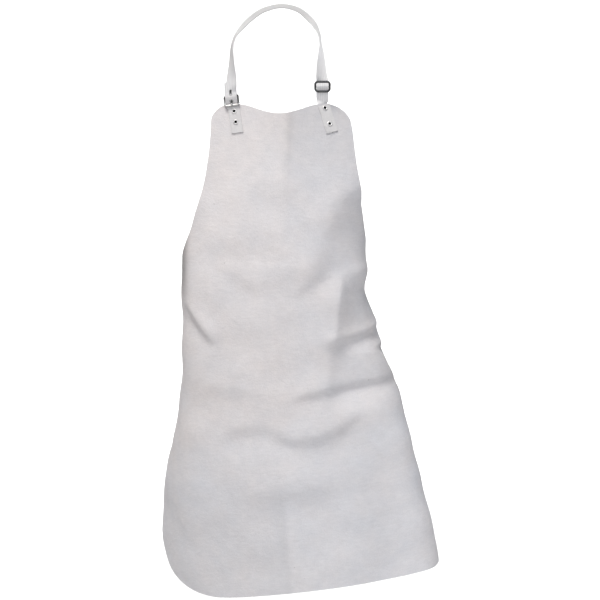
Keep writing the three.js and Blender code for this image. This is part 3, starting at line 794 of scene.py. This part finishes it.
# Painted light and shade in the tone: the hide is warmer and lighter on the lit left of the bib and of the
# bib crease, and cooler and darker to the right and down the skirt, where shade falls.
def tone_with_painted_light(u, v):
    crease_side_shade = beside_crease(bib_crease, u, v) * bell(v / TONE_CREASE_SHADE["down"])
    cool = TONE_ACROSS["share"] * np.tanh(u / TONE_ACROSS["reach"])
    cool += TONE_CREASE_SHADE["share"] * crease_side_shade + TONE_CREASE_SHADE["right"] * np.maximum(crease_side_shade, 0)
    cool += TONE_SKIRT["share"] * ease((v - TONE_SKIRT["from_v"]) / TONE_SKIRT["over_v"])
    return np.clip(TONE_MIDDLE - cool, 0, 1)


# %% Apron body
def apron_body():
    rows = sheet_levels()
    bm, across, up = new_grid(SHEET_COLUMNS, len(rows) - 1)
    level = rows[np.rint((1 - up) / 2 * (len(rows) - 1)).astype(int)]
    u = np.sign(across) * column_at(np.abs(across), level)
    v = level + top_edge(u) * np.maximum(0, 1 - level / NECK_FADE)
    keep_flat(bm, u, v)
    move_to(bm, hung(u, v))
    rivet_holes(bm, left_rivets + right_rivets, 0)
    u, v = flat_places(bm)
    piece = soft_piece(
        "apron_body_leather", bm, [leather, leather_edge], ["apron_body"], "split_leather",
        wall=LEATHER, offset=-1, tone=tone_with_painted_light(u, v), depth=hide_painted_light_and_shade(u, v),
    )


apron_body()

# %% [markdown]
# ## The neck strap
# The strap is woven webbing, 24 mm wide. It folds round the buckle's upper bar, runs over the neck, weaves
# through the slider and ends behind the bib. A ribbon needs a middle line and the way its width points. A
# curve with a flat profile would twist by itself, so each row of the table says both.

# %% Webbing finish
WEBBING_DARK = (0.63, 0.625, 0.63, 1)
WEBBING_LIGHT = (0.81, 0.80, 0.805, 1)
PICK_SHARE = 0.4
RIB_DEPTH = 0.0002
PICK_DEPTH = 0.00005


# Ribs lie side by side across the strap, and picks one after another along it.
def threads(tree, cut, direction, scale, distortion):
    bands = {"wave_type": "BANDS", "bands_direction": direction}
    made = add(tree, "ShaderNodeTexWave", bands, Scale=scale, Distortion=distortion)
    join(tree, cut, "UV", made, "Vector")
    return made


def woven_strap():
    material, tree, shader = new_material("webbing")
    cut = flat_map(tree)
    ribs = threads(tree, cut, "X", scale=88, distortion=0)
    picks = threads(tree, cut, "Y", scale=190, distortion=0.6)
    weave = mix_colours(tree, ribs.outputs["Color"], picks.outputs["Color"], PICK_SHARE)
    colour = mix_colours(tree, WEBBING_DARK, WEBBING_LIGHT, weave)
    soiled = noise_ramp(tree, cut, scale=30, detail=4, low=(0.93, 0.93, 0.935), start=0.35, end=0.65)
    colour = shaded(tree, colour, soiled, attribute(tree, "depth"))
    tree.links.new(colour, shader.inputs["Base Color"])
    set_inputs(shader, Roughness=0.75, Specular_IOR_Level=0.3, Sheen_Weight=0.05)
    bumps(tree, shader, (ribs, RIB_DEPTH), (picks, PICK_DEPTH))
    return material


webbing = woven_strap()
print("woven finish:", webbing.name)

# %% The sizes of the strap
STRAP = 0.0016
STRAP_WIDTH = 0.024
STRAP_GAP_BEHIND_BIB = 0.0014
STRAP_END_WIDTH = 0.018
STRAP_END_LEVELS = (0.002, 0.012, 0.030, 0.054)
FOLD_RADIUS = 0.0031
FOLD_HEIGHTS = (0.030, 0.020, 0.010, 0.004)
FOLD_TAPER = 0.03
FOLD_TURN_ROWS = 6
FOLD_BACK = 0.006
SLIDER = Vector((0.079, -0.108, -0.165))
SLIDER_HEIGHT = 0.024
SLIDER_BAR = 0.0036
SLIDER_WEAVE = 0.0028
print("webbing", STRAP_WIDTH, "m wide and", STRAP, "m thick")

# %% The way of the strap
# The width of the strap points at turn degrees round from +X, tipped up by tip degrees.
STRAP_COLUMN_NAMES = ("x", "y", "z", "turn", "tip")
STRAP_BELOW_SLIDER = rows_of(
    STRAP_COLUMN_NAMES,
    (0.0786, -0.1044, -0.1850, -180, 0),
    (0.0792, -0.1034, -0.1925, -180, 0),
)
STRAP_ROUTE = rows_of(
    STRAP_COLUMN_NAMES,
    (-0.1040, -0.113, -0.1660, -22, 4),
    (-0.1028, -0.110, -0.1480, -38, 0),
    (-0.1028, -0.103, -0.1160, -64, 0),
    (-0.1021, -0.090, -0.0840, -76, 0),
    (-0.0972, -0.078, -0.0654, -79, -7),
    (-0.0867, -0.060, -0.0495, -73, -15),
    (-0.0637, -0.030, -0.0239, -74, -22),
    (-0.0376, -0.008, -0.0067, -82, -24),
    (-0.0008, 0, 0.0009, -90, -22),
    (0.0289, -0.008, -0.0065, -98, -24),
    (0.0513, -0.030, -0.0249, -110, -22),
    (0.0655, -0.058, -0.0435, -109, -15),
    (0.0728, -0.074, -0.0614, -103, -7),
    (0.0752, -0.085, -0.0798, -103, 0),
    (0.0761, -0.093, -0.1000, -119, 0),
    (0.0764, -0.099, -0.1240, -139, 0),
    (0.0776, -0.104, -0.1450, -158, 0),
)
print(len(STRAP_ROUTE) + len(STRAP_BELOW_SLIDER), "places on the way of the strap")

# %% The place of the buckle
BUCKLE = {"x": -0.104, "y": -0.112, "z": -0.184, "roll": 8, "lean": 15, "turn": -8}
buckle_place = (
    Matrix.Translation((BUCKLE["x"], BUCKLE["y"], BUCKLE["z"]))
    @ Matrix.Rotation(math.radians(BUCKLE["turn"]), 4, "Z")
    @ Matrix.Rotation(math.radians(-BUCKLE["lean"]), 4, "X")
    @ Matrix.Rotation(math.radians(-BUCKLE["roll"]), 4, "Y")
)
buckle_across = buckle_place.to_3x3() @ Vector((1, 0, 0))
print("buckle at", [round(c, 3) for c in buckle_place.translation])


# %% The rows of the strap
def ribbon_row(point, across, width):
    return {
        "x": point[0], "y": point[1], "z": point[2],
        "ax": across[0], "ay": across[1], "az": across[2], "width": width,
    }


def routed(row, width):
    turn, tip = math.radians(row["turn"]), math.radians(row["tip"])
    across = (math.cos(tip) * math.cos(turn), math.cos(tip) * math.sin(turn), math.sin(tip))
    return ribbon_row((row["x"], row["y"], row["z"]), across, width)


def on_leather(tab, v, lift, width):
    u, slope = tab_middle(tab, v), tab_slope(tab)
    aside = np.array([FINE_STEP, -FINE_STEP])
    right, left = worn(u + aside, v - slope * aside)
    at_u, at_v = np.array([u]), np.array([v])
    point = worn(at_u, at_v)[0] + outward(at_u, at_v, worn)[0] * lift
    return ribbon_row(point, unit(right - left), width)


def paced(rows):
    places = np.array([[row["x"], row["y"], row["z"]] for row in rows])
    run = np.concatenate([[0], np.cumsum(np.linalg.norm(np.diff(places, axis=0), axis=1))])
    return [{**row, "run": r} for row, r in zip(rows, run)]


def strap_rows():
    def fold(out, up):
        return ribbon_row(buckle_place @ Vector((0, out, up)), buckle_across, STRAP_WIDTH)

    rows = [fold(FOLD_RADIUS - FOLD_TAPER * up, up) for up in FOLD_HEIGHTS]
    for k in range(FOLD_TURN_ROWS + 1):
        angle = math.pi * k / FOLD_TURN_ROWS
        rows.append(fold(FOLD_RADIUS * math.cos(angle), -FOLD_RADIUS * math.sin(angle)))
    rows.append(fold(-FOLD_RADIUS, FOLD_BACK))
    rows += [routed(row, STRAP_WIDTH) for row in STRAP_ROUTE]
    pitch = (SLIDER_HEIGHT - SLIDER_BAR) / 2
    for height, side in ((pitch, 1), (0, -1), (-pitch, 1)):
        y = SLIDER.y + side * SLIDER_WEAVE
        row = {"x": SLIDER.x, "y": y, "z": SLIDER.z + height, "turn": -180, "tip": 0}
        rows.append(routed(row, STRAP_WIDTH))
    rows += [routed(row, STRAP_WIDTH) for row in STRAP_BELOW_SLIDER]
    lift = -(LEATHER + STRAP_GAP_BEHIND_BIB + STRAP / 2)
    for v in STRAP_END_LEVELS:
        row = on_leather(RIGHT_TAB, v, lift, STRAP_END_WIDTH)
        rows.append({**row, "ax": -row["ax"], "ay": -row["ay"], "az": -row["az"]})
    return paced(rows)


print("strap of", round(strap_rows()[-1]["run"], 3), "m")


# %% A ribbon along its rows
def ribbon_grid(rows, columns, steps, share_of=lambda share: share):
    bm, share, up = new_grid(columns, steps * (len(rows) - 1))
    place = (up + 1) / 2 * (len(rows) - 1)
    knots = np.array([row["run"] for row in rows])
    run = np.interp(place, np.arange(len(rows)), knots)
    row = between(rows, "run", run)
    across = unit(np.stack([row["ax"], row["ay"], row["az"]], axis=-1))
    middle = np.stack([row["x"], row["y"], row["z"]], axis=-1)
    side = share_of(share) * row["width"] / 2
    move_to(bm, middle + across * side[:, None])
    keep_flat(bm, side, run)
    return bm


# %% The slot and the shades of the strap
STRAP_COLUMNS = 12
STRAP_STEPS = 10
SLOT_WIDTH = 0.0046
SLOT_ABOVE = 0.0115
SLOT_ABOVE_BEHIND = 0.005
SLOT_BELOW = 0.008
# Painted shade and painted light on the strap, as shares of its colour
STRAP_TOP_PAINTED_SHADE = 0.34
STRAP_TOP_PAINTED_SHADE_FROM = -0.1
STRAP_PAINTED_LIGHT = 0.14
STRAP_PAINTED_LIGHT_HEIGHT = -0.082
STRAP_PAINTED_LIGHT_REACH = 0.036
FOLD_SHADE = 0.3
INSIDE_FRONT = -0.001
INSIDE_HALF = 0.0045
INSIDE_FROM, INSIDE_TO = 0.001, 0.016
BELOW_SLIDER_PAINTED_LIGHT = 1.1
slot_share = SLOT_WIDTH / STRAP_WIDTH
even_share = 2 / STRAP_COLUMNS


# The two middle columns are as wide as the slot for the prong.
def slotted(share):
    size = np.abs(share)
    outer = slot_share + (size - even_share) * (1 - slot_share) / (1 - even_share)
    return np.sign(share) * np.where(size <= even_share, size * slot_share / even_share, outer)


def in_slot(place):
    x, y, z = buckle_place.inverted() @ place
    above = SLOT_ABOVE if y < 0 else SLOT_ABOVE_BEHIND
    return abs(x) < SLOT_WIDTH / 2 and abs(y) < STRAP_WIDTH / 2 and -SLOT_BELOW < z < above


# Painted shade and light on the strap: it is painted darker towards the top, where it lies over the neck
# and the high lamp lights it most, and darkest inside the fold round the buckle's bar, where shade falls.
# It is painted paler at the side of the neck above the slider, where it turns from the light, and just
# below the slider, where the slider's shadow falls.
def strap_painted_light_and_shade(places):
    depth = np.ones(len(places))
    for k, place in enumerate(places):
        x, y, z = buckle_place.inverted() @ place
        inside = y > INSIDE_FRONT and abs(x) < INSIDE_HALF and INSIDE_FROM < z < INSIDE_TO
        below = place.x > 0 and place.z < SLIDER.z - SLIDER_HEIGHT / 2
        depth[k] = FOLD_SHADE if inside else BELOW_SLIDER_PAINTED_LIGHT if below else 1
    height = np.array([place.z for place in places])
    right = np.array([place.x > 0 for place in places])
    depth += STRAP_PAINTED_LIGHT * right * bell((height - STRAP_PAINTED_LIGHT_HEIGHT) / STRAP_PAINTED_LIGHT_REACH)
    return depth - STRAP_TOP_PAINTED_SHADE * ease((height - STRAP_TOP_PAINTED_SHADE_FROM) / -STRAP_TOP_PAINTED_SHADE_FROM)


# %% Neck strap
def neck_strap():
    bm = ribbon_grid(strap_rows(), STRAP_COLUMNS, STRAP_STEPS, slotted)
    slot = [f for f in bm.faces if in_slot(f.calc_center_median())]
    bmesh.ops.delete(bm, geom=slot, context="FACES")
    rivet_holes(bm, right_rivets, -LEATHER - STRAP_GAP_BEHIND_BIB)
    depth = strap_painted_light_and_shade([vertex.co for vertex in bm.verts])
    piece = soft_piece(
        "neck_strap_webbing", bm, [webbing], ["neck_strap"], "webbing", wall=STRAP, depth=depth
    )
    round_edges(piece)


neck_strap()

# %% [markdown]
# ## The billet and the tab
# Both are thicker leather. The billet runs up from the bib, behind the buckle's lower bar and out over its
# upper one, with a hole for the prong. The tab lies flat on the bib's other side.

# %% The way of the billet
# Up and out are from the buckle's upper bar, and out is to the back.
BILLET_ROUTE = rows_of(
    ("up", "out"),
    (-0.0194, 0.0030),
    (-0.0165, 0.0022),
    (-0.0140, 0.0006),
    (-0.0105, -0.0015),
    (-0.0070, -0.0037),
    (-0.0035, -0.0053),
    (-0.0005, -0.0056),
)
BILLET_STEP = 0.008


def billet_rows():
    levels = np.arange(BILLET["bottom_v"], BILLET["top_v"] + BILLET_STEP, -BILLET_STEP)
    rows = [on_leather(BILLET, v, TAB_LIFT + TAB / 2, BILLET_WIDTH) for v in levels]
    for row in BILLET_ROUTE:
        point = buckle_place @ Vector((0, row["out"], row["up"]))
        rows.append(ribbon_row(point, buckle_across, BILLET_WIDTH))
    return paced(rows)


print("billet of", round(billet_rows()[-1]["run"], 3), "m")

# %% Billet and tab
BILLET_COLUMNS = 8
BILLET_STEPS = 6
PRONG_HOLE = 0.0021
PRONG_HOLE_DROP = 0.0102
# Painted light on the part of the billet that turns up into the buckle, and painted shade round the prong's
# hole
BILLET_TOP_PAINTED_LIGHT = 0.12
HOLE_SHADE = 0.04
HOLE_RIM = 1.7
BILLET_TONE = 0.8
TAB_TONE = 0.2
TAB_COLUMNS = 16
TAB_ROWS = 36


def left_billet():
    rows = billet_rows()
    bm = ribbon_grid(rows, BILLET_COLUMNS, BILLET_STEPS)
    rivet_holes(bm, left_rivets, TAB_TOP)
    hole = buckle_place @ Vector((0, 0, -PRONG_HOLE_DROP))
    cut_hole(bm, hole, buckle_place.to_3x3() @ Vector((0, 1, 0)), PRONG_HOLE)
    # Painted shade round the prong's hole, and painted light where the billet faces down between the bars.
    by_hole = np.array([(vertex.co - hole).length < HOLE_RIM * PRONG_HOLE for vertex in bm.verts])
    bend_starts = rows[-len(BILLET_ROUTE)]["run"]
    _, run = flat_places(bm)
    top_painted_light = 1 + BILLET_TOP_PAINTED_LIGHT * ease((run - bend_starts) / BILLET_STEP)
    depth = np.where(by_hole, HOLE_SHADE, top_painted_light)
    piece = soft_piece(
        "left_billet_leather", bm, [tab_leather, leather_edge], ["left_billet"], "tab_leather",
        wall=TAB, tone=np.full(len(depth), BILLET_TONE), depth=depth,
    )
    round_edges(piece)


def right_tab():
    bm, across, up = new_grid(TAB_COLUMNS, TAB_ROWS)
    slope = tab_slope(RIGHT_TAB)
    off = across * TAB_WIDTH / 2 / math.hypot(1, slope)
    down = RIGHT_TAB["top_v"] + (RIGHT_TAB["bottom_v"] - RIGHT_TAB["top_v"]) * (1 - up) / 2
    u, v = tab_middle(RIGHT_TAB, down) + off, down - off * slope
    keep_flat(bm, u, v)
    move_to(bm, worn(u, v) + outward(u, v, worn) * TAB_TOP)
    rivet_holes(bm, right_rivets, TAB_TOP)
    even = np.ones(len(bm.verts))
    piece = soft_piece(
        "right_tab_leather", bm, [tab_leather, leather_edge], ["right_tab"], "tab_leather",
        wall=TAB, offset=-1, tone=TAB_TONE * even, depth=even,
    )
    round_edges(piece)


left_billet()
right_tab()

# %% [markdown]
# ## Metal
# The slider is dark plated steel, and the buckle and the rivets are bright nickel. A flat grey would look
# like plastic. A little noise in the roughness breaks up the reflections as fine scratches do. The buckle
# and prong are dulled a little, and darker colour is painted on them as shade and dark reflection. The
# rivets' bores are painted near-black as shade.

# %% Metal finishes
# The dark colour that is painted on the metal as shade and dark reflection, and as a little dulling
DULL_AND_PAINTED_DARK_COLOUR = (0.05, 0.05, 0.05, 1)


def plated_metal(name, bright, dull, smooth, rough):
    material, tree, shader = new_material(name)
    spots = solid_noise(tree, scale=260, detail=4)
    colour = mix_colours(tree, (*dull, 1), (*bright, 1), spots.outputs["Fac"])
    colour = mix_colours(tree, colour, DULL_AND_PAINTED_DARK_COLOUR, attribute(tree, "dull_and_painted_dark").outputs["Fac"])
    tree.links.new(colour, shader.inputs["Base Color"])
    scratches = solid_noise(tree, scale=2400, detail=2)
    spread = add(tree, "ShaderNodeMapRange", From_Min=0.3, From_Max=0.7, To_Min=smooth, To_Max=rough)
    join(tree, scratches, "Fac", spread, "Value")
    join(tree, spread, "Result", shader, "Roughness")
    set_inputs(shader, Metallic=1.0)
    return material


dark_nickel = plated_metal("dark_nickel", (0.13, 0.13, 0.135), (0.06, 0.06, 0.06), smooth=0.3, rough=0.5)
nickel = plated_metal("nickel", (0.92, 0.91, 0.9), (0.72, 0.71, 0.7), smooth=0.35, rough=0.55)
# Painted shade: near-black for the inside of the rivets' bores
bore_painted_black = plated_metal("rivet_bore", (0.03, 0.03, 0.03), (0.015, 0.015, 0.015), smooth=0.5, rough=0.7)
print("metals:", dark_nickel.name, nickel.name, bore_painted_black.name)

# %% [markdown]
# ## The buckle
# The frame is flattened wire bent into a rectangle. A curve with a bevel would do, but a ring of points
# that is pushed straight and spun round each corner shows how the wire itself is bent. The prong is a pin
# with a ring round the upper bar.

# %% Bending wire
WIRE_SIDES = 14
CORNER_STEPS = 8
MERGE_WITHIN = 1e-6


def new_edges(bm, made):
    verts = {g for g in made if isinstance(g, bmesh.types.BMVert)}
    return [e for e in bm.edges if e.verts[0] in verts and e.verts[1] in verts]


def ends_of(edges):
    return list(dict.fromkeys(v for e in edges for v in e.verts))


def push(bm, edges, move):
    made = bmesh.ops.extrude_edge_only(bm, edges=edges)["geom"]
    bmesh.ops.translate(bm, verts=[g for g in made if isinstance(g, bmesh.types.BMVert)], vec=move)
    return new_edges(bm, made)


def bend(bm, edges, centre, axis, angle, steps):
    made = bmesh.ops.spin(bm, geom=ends_of(edges) + edges, cent=centre, axis=axis, angle=angle, steps=steps)
    return new_edges(bm, made["geom_last"])


def close_up(bm):
    bmesh.ops.remove_doubles(bm, verts=bm.verts, dist=MERGE_WITHIN)
    bmesh.ops.recalc_face_normals(bm, faces=bm.faces)


def spin_round(bm, geom, axis, steps):
    full_turn = 2 * math.pi
    bmesh.ops.spin(bm, geom=geom, cent=(0, 0, 0), axis=axis, angle=full_turn, steps=steps, use_merge=True)


# %% Buckle frame
WIRE = 0.0041
WIRE_THICK = 0.0027
WIRE_ACROSS = 0.0273
WIRE_DOWN = 0.0194
WIRE_CORNER = 0.003
PAINTED_DARK_END = 0.009
PAINTED_DARK_SOFT = 0.004
DULL_LEAST = 0.32


def wire_section(thick, wide):
    return Matrix.Rotation(math.pi / 2, 4, "Y") @ Matrix.Diagonal((wide / 2, thick / 2, 1, 1))


def wire_rectangle(across, down, corner, thick, wide):
    bm = bmesh.new()
    bmesh.ops.create_circle(bm, segments=WIRE_SIDES, radius=1, matrix=wire_section(thick, wide))
    ring = list(bm.edges)
    heading, place = Vector((1, 0, 0)), Vector((0, 0, 0))
    for length in (across / 2, down, across, down, across / 2):
        last = length == across / 2 and place.length > 0
        ends = 1 if length == across / 2 else 2
        move = heading * (length - ends * corner)
        ring = push(bm, ring, move)
        place = place + move
        if not last:
            inward = Matrix.Rotation(math.pi / 2, 3, "Y") @ heading
            ring = bend(bm, ring, place + inward * corner, (0, 1, 0), math.pi / 2, CORNER_STEPS)
            place = place + (heading + inward) * corner
            heading = inward
    close_up(bm)
    return bm


def buckle_frame():
    bm = wire_rectangle(WIRE_ACROSS, WIRE_DOWN, WIRE_CORNER, WIRE_THICK, WIRE)
    local = np.array([vertex.co for vertex in bm.verts])
    bmesh.ops.transform(bm, matrix=buckle_place, verts=bm.verts)
    piece = finish_object("buckle_frame_wire", bm, [nickel], ["buckle_frame"])
    # Painted shade and dark reflection on the upper bar and down the right side, and a little dulling
    # everywhere
    upper = ease((local[:, 2] + PAINTED_DARK_END) / PAINTED_DARK_SOFT)
    right = ease((local[:, 0] - WIRE_ACROSS / 2 + WIRE) / WIRE)
    right = right * ease((local[:, 2] + WIRE_DOWN) / PAINTED_DARK_SOFT)
    give_values(piece, "dull_and_painted_dark", np.maximum(np.maximum(upper, right), DULL_LEAST))


buckle_frame()

# %% Buckle prong
PRONG_RADIUS = 0.0016
PRONG_KNUCKLE = 0.0033
PRONG_BORE = 0.0022
PRONG_WIDTH = 0.0032
PRONG_ROOT = 0.0026
PRONG_REACH = 0.0214
PRONG_TILT = 9
PRONG_TIP = 0.0016
# Shares of the tip's length, each with the width that it narrows to
PRONG_TIP_STEPS = ((0.7, 0.75), (0.3, 0.4))
PRONG_PARTS = 8
PRONG_PAINTED_DARK_END = 0.0192
PRONG_SIDES = 14
RING_SIDES = 12
RING_STEPS = 28


def buckle_prong():
    bm = bmesh.new()
    middle = (PRONG_KNUCKLE + PRONG_BORE) / 2
    flat_ring = Matrix.Translation((0, middle, 0)) @ Matrix.Diagonal(
        (PRONG_WIDTH / 2, (PRONG_KNUCKLE - PRONG_BORE) / 2, 1, 1)
    )
    bmesh.ops.create_circle(bm, segments=RING_SIDES, radius=1, matrix=flat_ring)
    spin_round(bm, list(bm.verts) + list(bm.edges), (1, 0, 0), RING_STEPS)
    start = Matrix.Translation((0, 0, -PRONG_ROOT))
    pin = bmesh.ops.create_circle(bm, segments=PRONG_SIDES, radius=PRONG_RADIUS, matrix=start)
    ring = new_edges(bm, pin["verts"])
    bmesh.ops.contextual_create(bm, geom=ring)
    straight = PRONG_REACH - PRONG_ROOT - PRONG_TIP
    lengths = [(straight / PRONG_PARTS, 1)] * PRONG_PARTS
    lengths += [(PRONG_TIP * share, width) for share, width in PRONG_TIP_STEPS]
    for drop, width in lengths:
        ring = push(bm, ring, (0, 0, -drop))
        tip = ends_of(ring)
        centre = sum((v.co for v in tip), Vector()) / len(tip)
        bmesh.ops.scale(bm, verts=tip, vec=(width, width, 1), space=Matrix.Translation(-centre))
    bmesh.ops.contextual_create(bm, geom=ring)
    close_up(bm)
    height = np.array([vertex.co.z for vertex in bm.verts])
    tilt = Matrix.Rotation(math.radians(-PRONG_TILT), 4, "X")
    bmesh.ops.transform(bm, matrix=buckle_place @ tilt, verts=bm.verts)
    piece = finish_object("buckle_prong_pin", bm, [nickel], ["buckle_prong"])
    # Painted shade on the prong's upper part, by the slot, and a little dulling everywhere
    give_values(piece, "dull_and_painted_dark", np.maximum(ease((height + PRONG_PAINTED_DARK_END) / PAINTED_DARK_SOFT), DULL_LEAST))


buckle_prong()

# %% [markdown]
# ## The slider
# The slider is a rounded ring of flattened wire with a bar across its middle. A stamped plate with two
# windows would have flat faces and sharp rims. The bent ring has soft ones, so it is made as the buckle is,
# with a thinner section, and the bar is one more straight length.

# %% Slider
SLIDER_WIDTH = 0.0334
SLIDER_RING = 0.0238
SLIDER_WIRE = 0.0044
SLIDER_PLATE = 0.0018
SLIDER_CORNER = 0.0056
BAR_PLATE = 0.95 * SLIDER_PLATE


def slider_ring():
    across, down = SLIDER_WIDTH - SLIDER_WIRE, SLIDER_RING - SLIDER_WIRE
    bm = wire_rectangle(across, down, SLIDER_CORNER, SLIDER_PLATE, SLIDER_WIRE)
    bmesh.ops.translate(bm, verts=bm.verts, vec=(0, 0, down / 2))
    section = Matrix.Translation((-across / 2, 0, 0)) @ wire_section(BAR_PLATE, SLIDER_BAR)
    bar = bmesh.ops.create_circle(bm, segments=WIRE_SIDES, radius=1, matrix=section)["verts"]
    push(bm, new_edges(bm, bar), (across, 0, 0))
    close_up(bm)
    bmesh.ops.translate(bm, verts=bm.verts, vec=SLIDER)
    finish_object("slider_ring", bm, [dark_nickel], ["slider"])


slider_ring()

# %% [markdown]
# ## The hollow rivets
# A hollow rivet has a closed head behind, and its open front end is rolled over into a rim. Anything round
# is quickest as half a profile that is spun about its axis. The rim's roll is an arc, worked out by a loop.

# %% Rivets
RIVET_HOLE = 0.0028
RIVET_FLANGE = 0.005
RIVET_RIM = 0.0009
RIVET_FLOOR = 0.0005
RIVET_HEAD = 0.6 * RIVET_RIM
# How far in from the flange, and how far up from its face, the head's rounded edge goes
HEAD_EDGE = ((0.0009, 0), (0.0004, 0.0002))
HEAD_INSET = 0.0003
BORE_WITHIN = RIVET_HOLE + 1e-5
RIVET_STEPS = 36
ROLL_STEPS = 10


def rivet_profile(front, back):
    top, bottom = front + 2 * GAP, -back - GAP
    middle, reach = (RIVET_HOLE + RIVET_FLANGE) / 2, (RIVET_FLANGE - RIVET_HOLE) / 2
    roll = [math.pi * k / ROLL_STEPS for k in range(ROLL_STEPS + 1)]
    rim = [(middle + reach * math.cos(a), top + RIVET_RIM * math.sin(a)) for a in roll]
    head = bottom - RIVET_HEAD
    edge = [(RIVET_FLANGE - inset, head + rise) for inset, rise in HEAD_EDGE]
    under = [(0, head), *edge, (RIVET_FLANGE - HEAD_INSET, bottom)]
    bore = [(RIVET_HOLE, bottom + RIVET_FLOOR), (0, bottom + RIVET_FLOOR)]
    return [*under, (RIVET_SHANK, bottom), (RIVET_SHANK, top), *rim, *bore]


def hollow_rivet(name, point, axis, back):
    bm = bmesh.new()
    profile = [bm.verts.new((r, 0, z)) for r, z in rivet_profile(TAB_TOP, back)]
    edges = [bm.edges.new(pair) for pair in zip(profile, profile[1:])]
    spin_round(bm, profile + edges, (0, 0, 1), RIVET_STEPS)
    close_up(bm)
    for face in bm.faces:
        middle = face.calc_center_median()
        # The bore's walls and floor get the near-black finish, as painted shade.
        face.material_index = int(math.hypot(middle.x, middle.y) < BORE_WITHIN and middle.z > -back)
    stand = Vector((0, 0, 1)).rotation_difference(axis).to_matrix().to_4x4()
    bmesh.ops.transform(bm, matrix=Matrix.Translation(point) @ stand, verts=bm.verts)
    finish_object(name + "_nickel", bm, [nickel, bore_painted_black], [name])


RIGHT_BACK = LEATHER + STRAP_GAP_BEHIND_BIB + STRAP
for name, (point, axis), back in (
    ("left_rivet_upper", left_rivets[0], LEATHER),
    ("left_rivet_lower", left_rivets[1], LEATHER),
    ("right_rivet_upper", right_rivets[0], RIGHT_BACK),
    ("right_rivet_lower", right_rivets[1], RIGHT_BACK),
):
    hollow_rivet(name, point, axis, back)

# %% [markdown]
# ## The studio
# A roll of pale paper runs under the apron and sweeps up far behind it, so no edge distracts from it. The
# paper could be one bent plane, but a line that is pushed along the floor, spun through a quarter turn and
# pushed up makes the sweep exactly round. The light is soft: a wide lamp high up, a weaker one in front,
# two over the paper behind, and a pale sky all round, so that the folds are shaded gently. A small weak
# lamp beside the strap keeps its far side from going grey.

# %% Paper floor
FLOOR_HEIGHT = -1.5
PAPER_HALF = 2.6
PAPER_FRONT = -4.0
PAPER_BACK = 5.4
SWEEP_RADIUS = 1.6
PAPER_UP = 2.4
SWEEP_STEPS = 24
PAPER_DULL = (0.91, 0.91, 0.91, 1)
PAPER_BRIGHT = (0.93, 0.93, 0.93, 1)


def paper_finish():
    material, tree, shader = new_material("pale_paper")
    fibres = solid_noise(tree, scale=3, detail=3)
    colour = mix_colours(tree, PAPER_DULL, PAPER_BRIGHT, fibres.outputs["Fac"])
    tree.links.new(colour, shader.inputs["Base Color"])
    set_inputs(shader, Roughness=0.95, Specular_IOR_Level=0.1)
    return material


def paper_floor():
    bm = bmesh.new()
    ends = [bm.verts.new((side * PAPER_HALF, PAPER_FRONT, FLOOR_HEIGHT)) for side in (-1, 1)]
    line = [bm.edges.new(ends)]
    line = push(bm, line, (0, PAPER_BACK - PAPER_FRONT, 0))
    centre = (0, PAPER_BACK, FLOOR_HEIGHT + SWEEP_RADIUS)
    line = bend(bm, line, centre, (1, 0, 0), math.pi / 2, SWEEP_STEPS)
    push(bm, line, (0, 0, PAPER_UP))
    bmesh.ops.recalc_face_normals(bm, faces=bm.faces)
    floor = mesh_object("paper_floor", bm, [paper_finish()])


paper_floor()

# %% Lights
WARM_LAMP = (1.0, 0.978, 0.938)
COOL_LAMP = (0.942, 0.96, 1.0)
PLAIN_LAMP = (1, 1, 1)
SKY_STRENGTH = 0.205
APRON_FRONT = (0.03, -0.2, -0.5)
LAMPS = rows_of(
    ("lamp", "place", "target", "size", "power", "colour", "spread"),
    ("high_lamp", (-1.07, -1.51, 4.20), APRON_FRONT, 2.0, 203, WARM_LAMP, 180),
    ("front_lamp", (0.70, -4.28, 2.30), APRON_FRONT, 2.0, 83, COOL_LAMP, 180),
    ("floor_lamp", (0, 2.9, 2.6), (0, 3.2, -1.5), 2.0, 76, PLAIN_LAMP, 120),
    ("paper_lamp", (0, 4.6, 3.0), (0, 6.4, -1.0), 2.0, 96, PLAIN_LAMP, 120),
    ("strap_lamp", (1.35, -0.75, 0.05), (0.074, -0.080, -0.084), 0.06, 0.009, PLAIN_LAMP, 5),
)


def soft_lamp(row):
    lamp = bpy.data.lights.new(row["lamp"], "AREA")
    lamp.shape = "DISK"
    lamp.size = row["size"]
    lamp.energy = row["power"]
    lamp.color = row["colour"]
    lamp.spread = math.radians(row["spread"])
    holder = bpy.data.objects.new(row["lamp"], lamp)
    scene.collection.objects.link(holder)
    holder.location = row["place"]
    facing = Vector(row["target"]) - Vector(row["place"])
    holder.rotation_euler = facing.to_track_quat("-Z", "Y").to_euler()


for row in LAMPS:
    soft_lamp(row)
world = bpy.data.worlds.new("studio_sky")
scene.world = world
world.use_nodes = True
set_inputs(world.node_tree.nodes["Background"], Color=(*COOL_LAMP, 1), Strength=SKY_STRENGTH)
scene.view_settings.view_transform = "Standard"
print(len(LAMPS), "lamps and a sky")
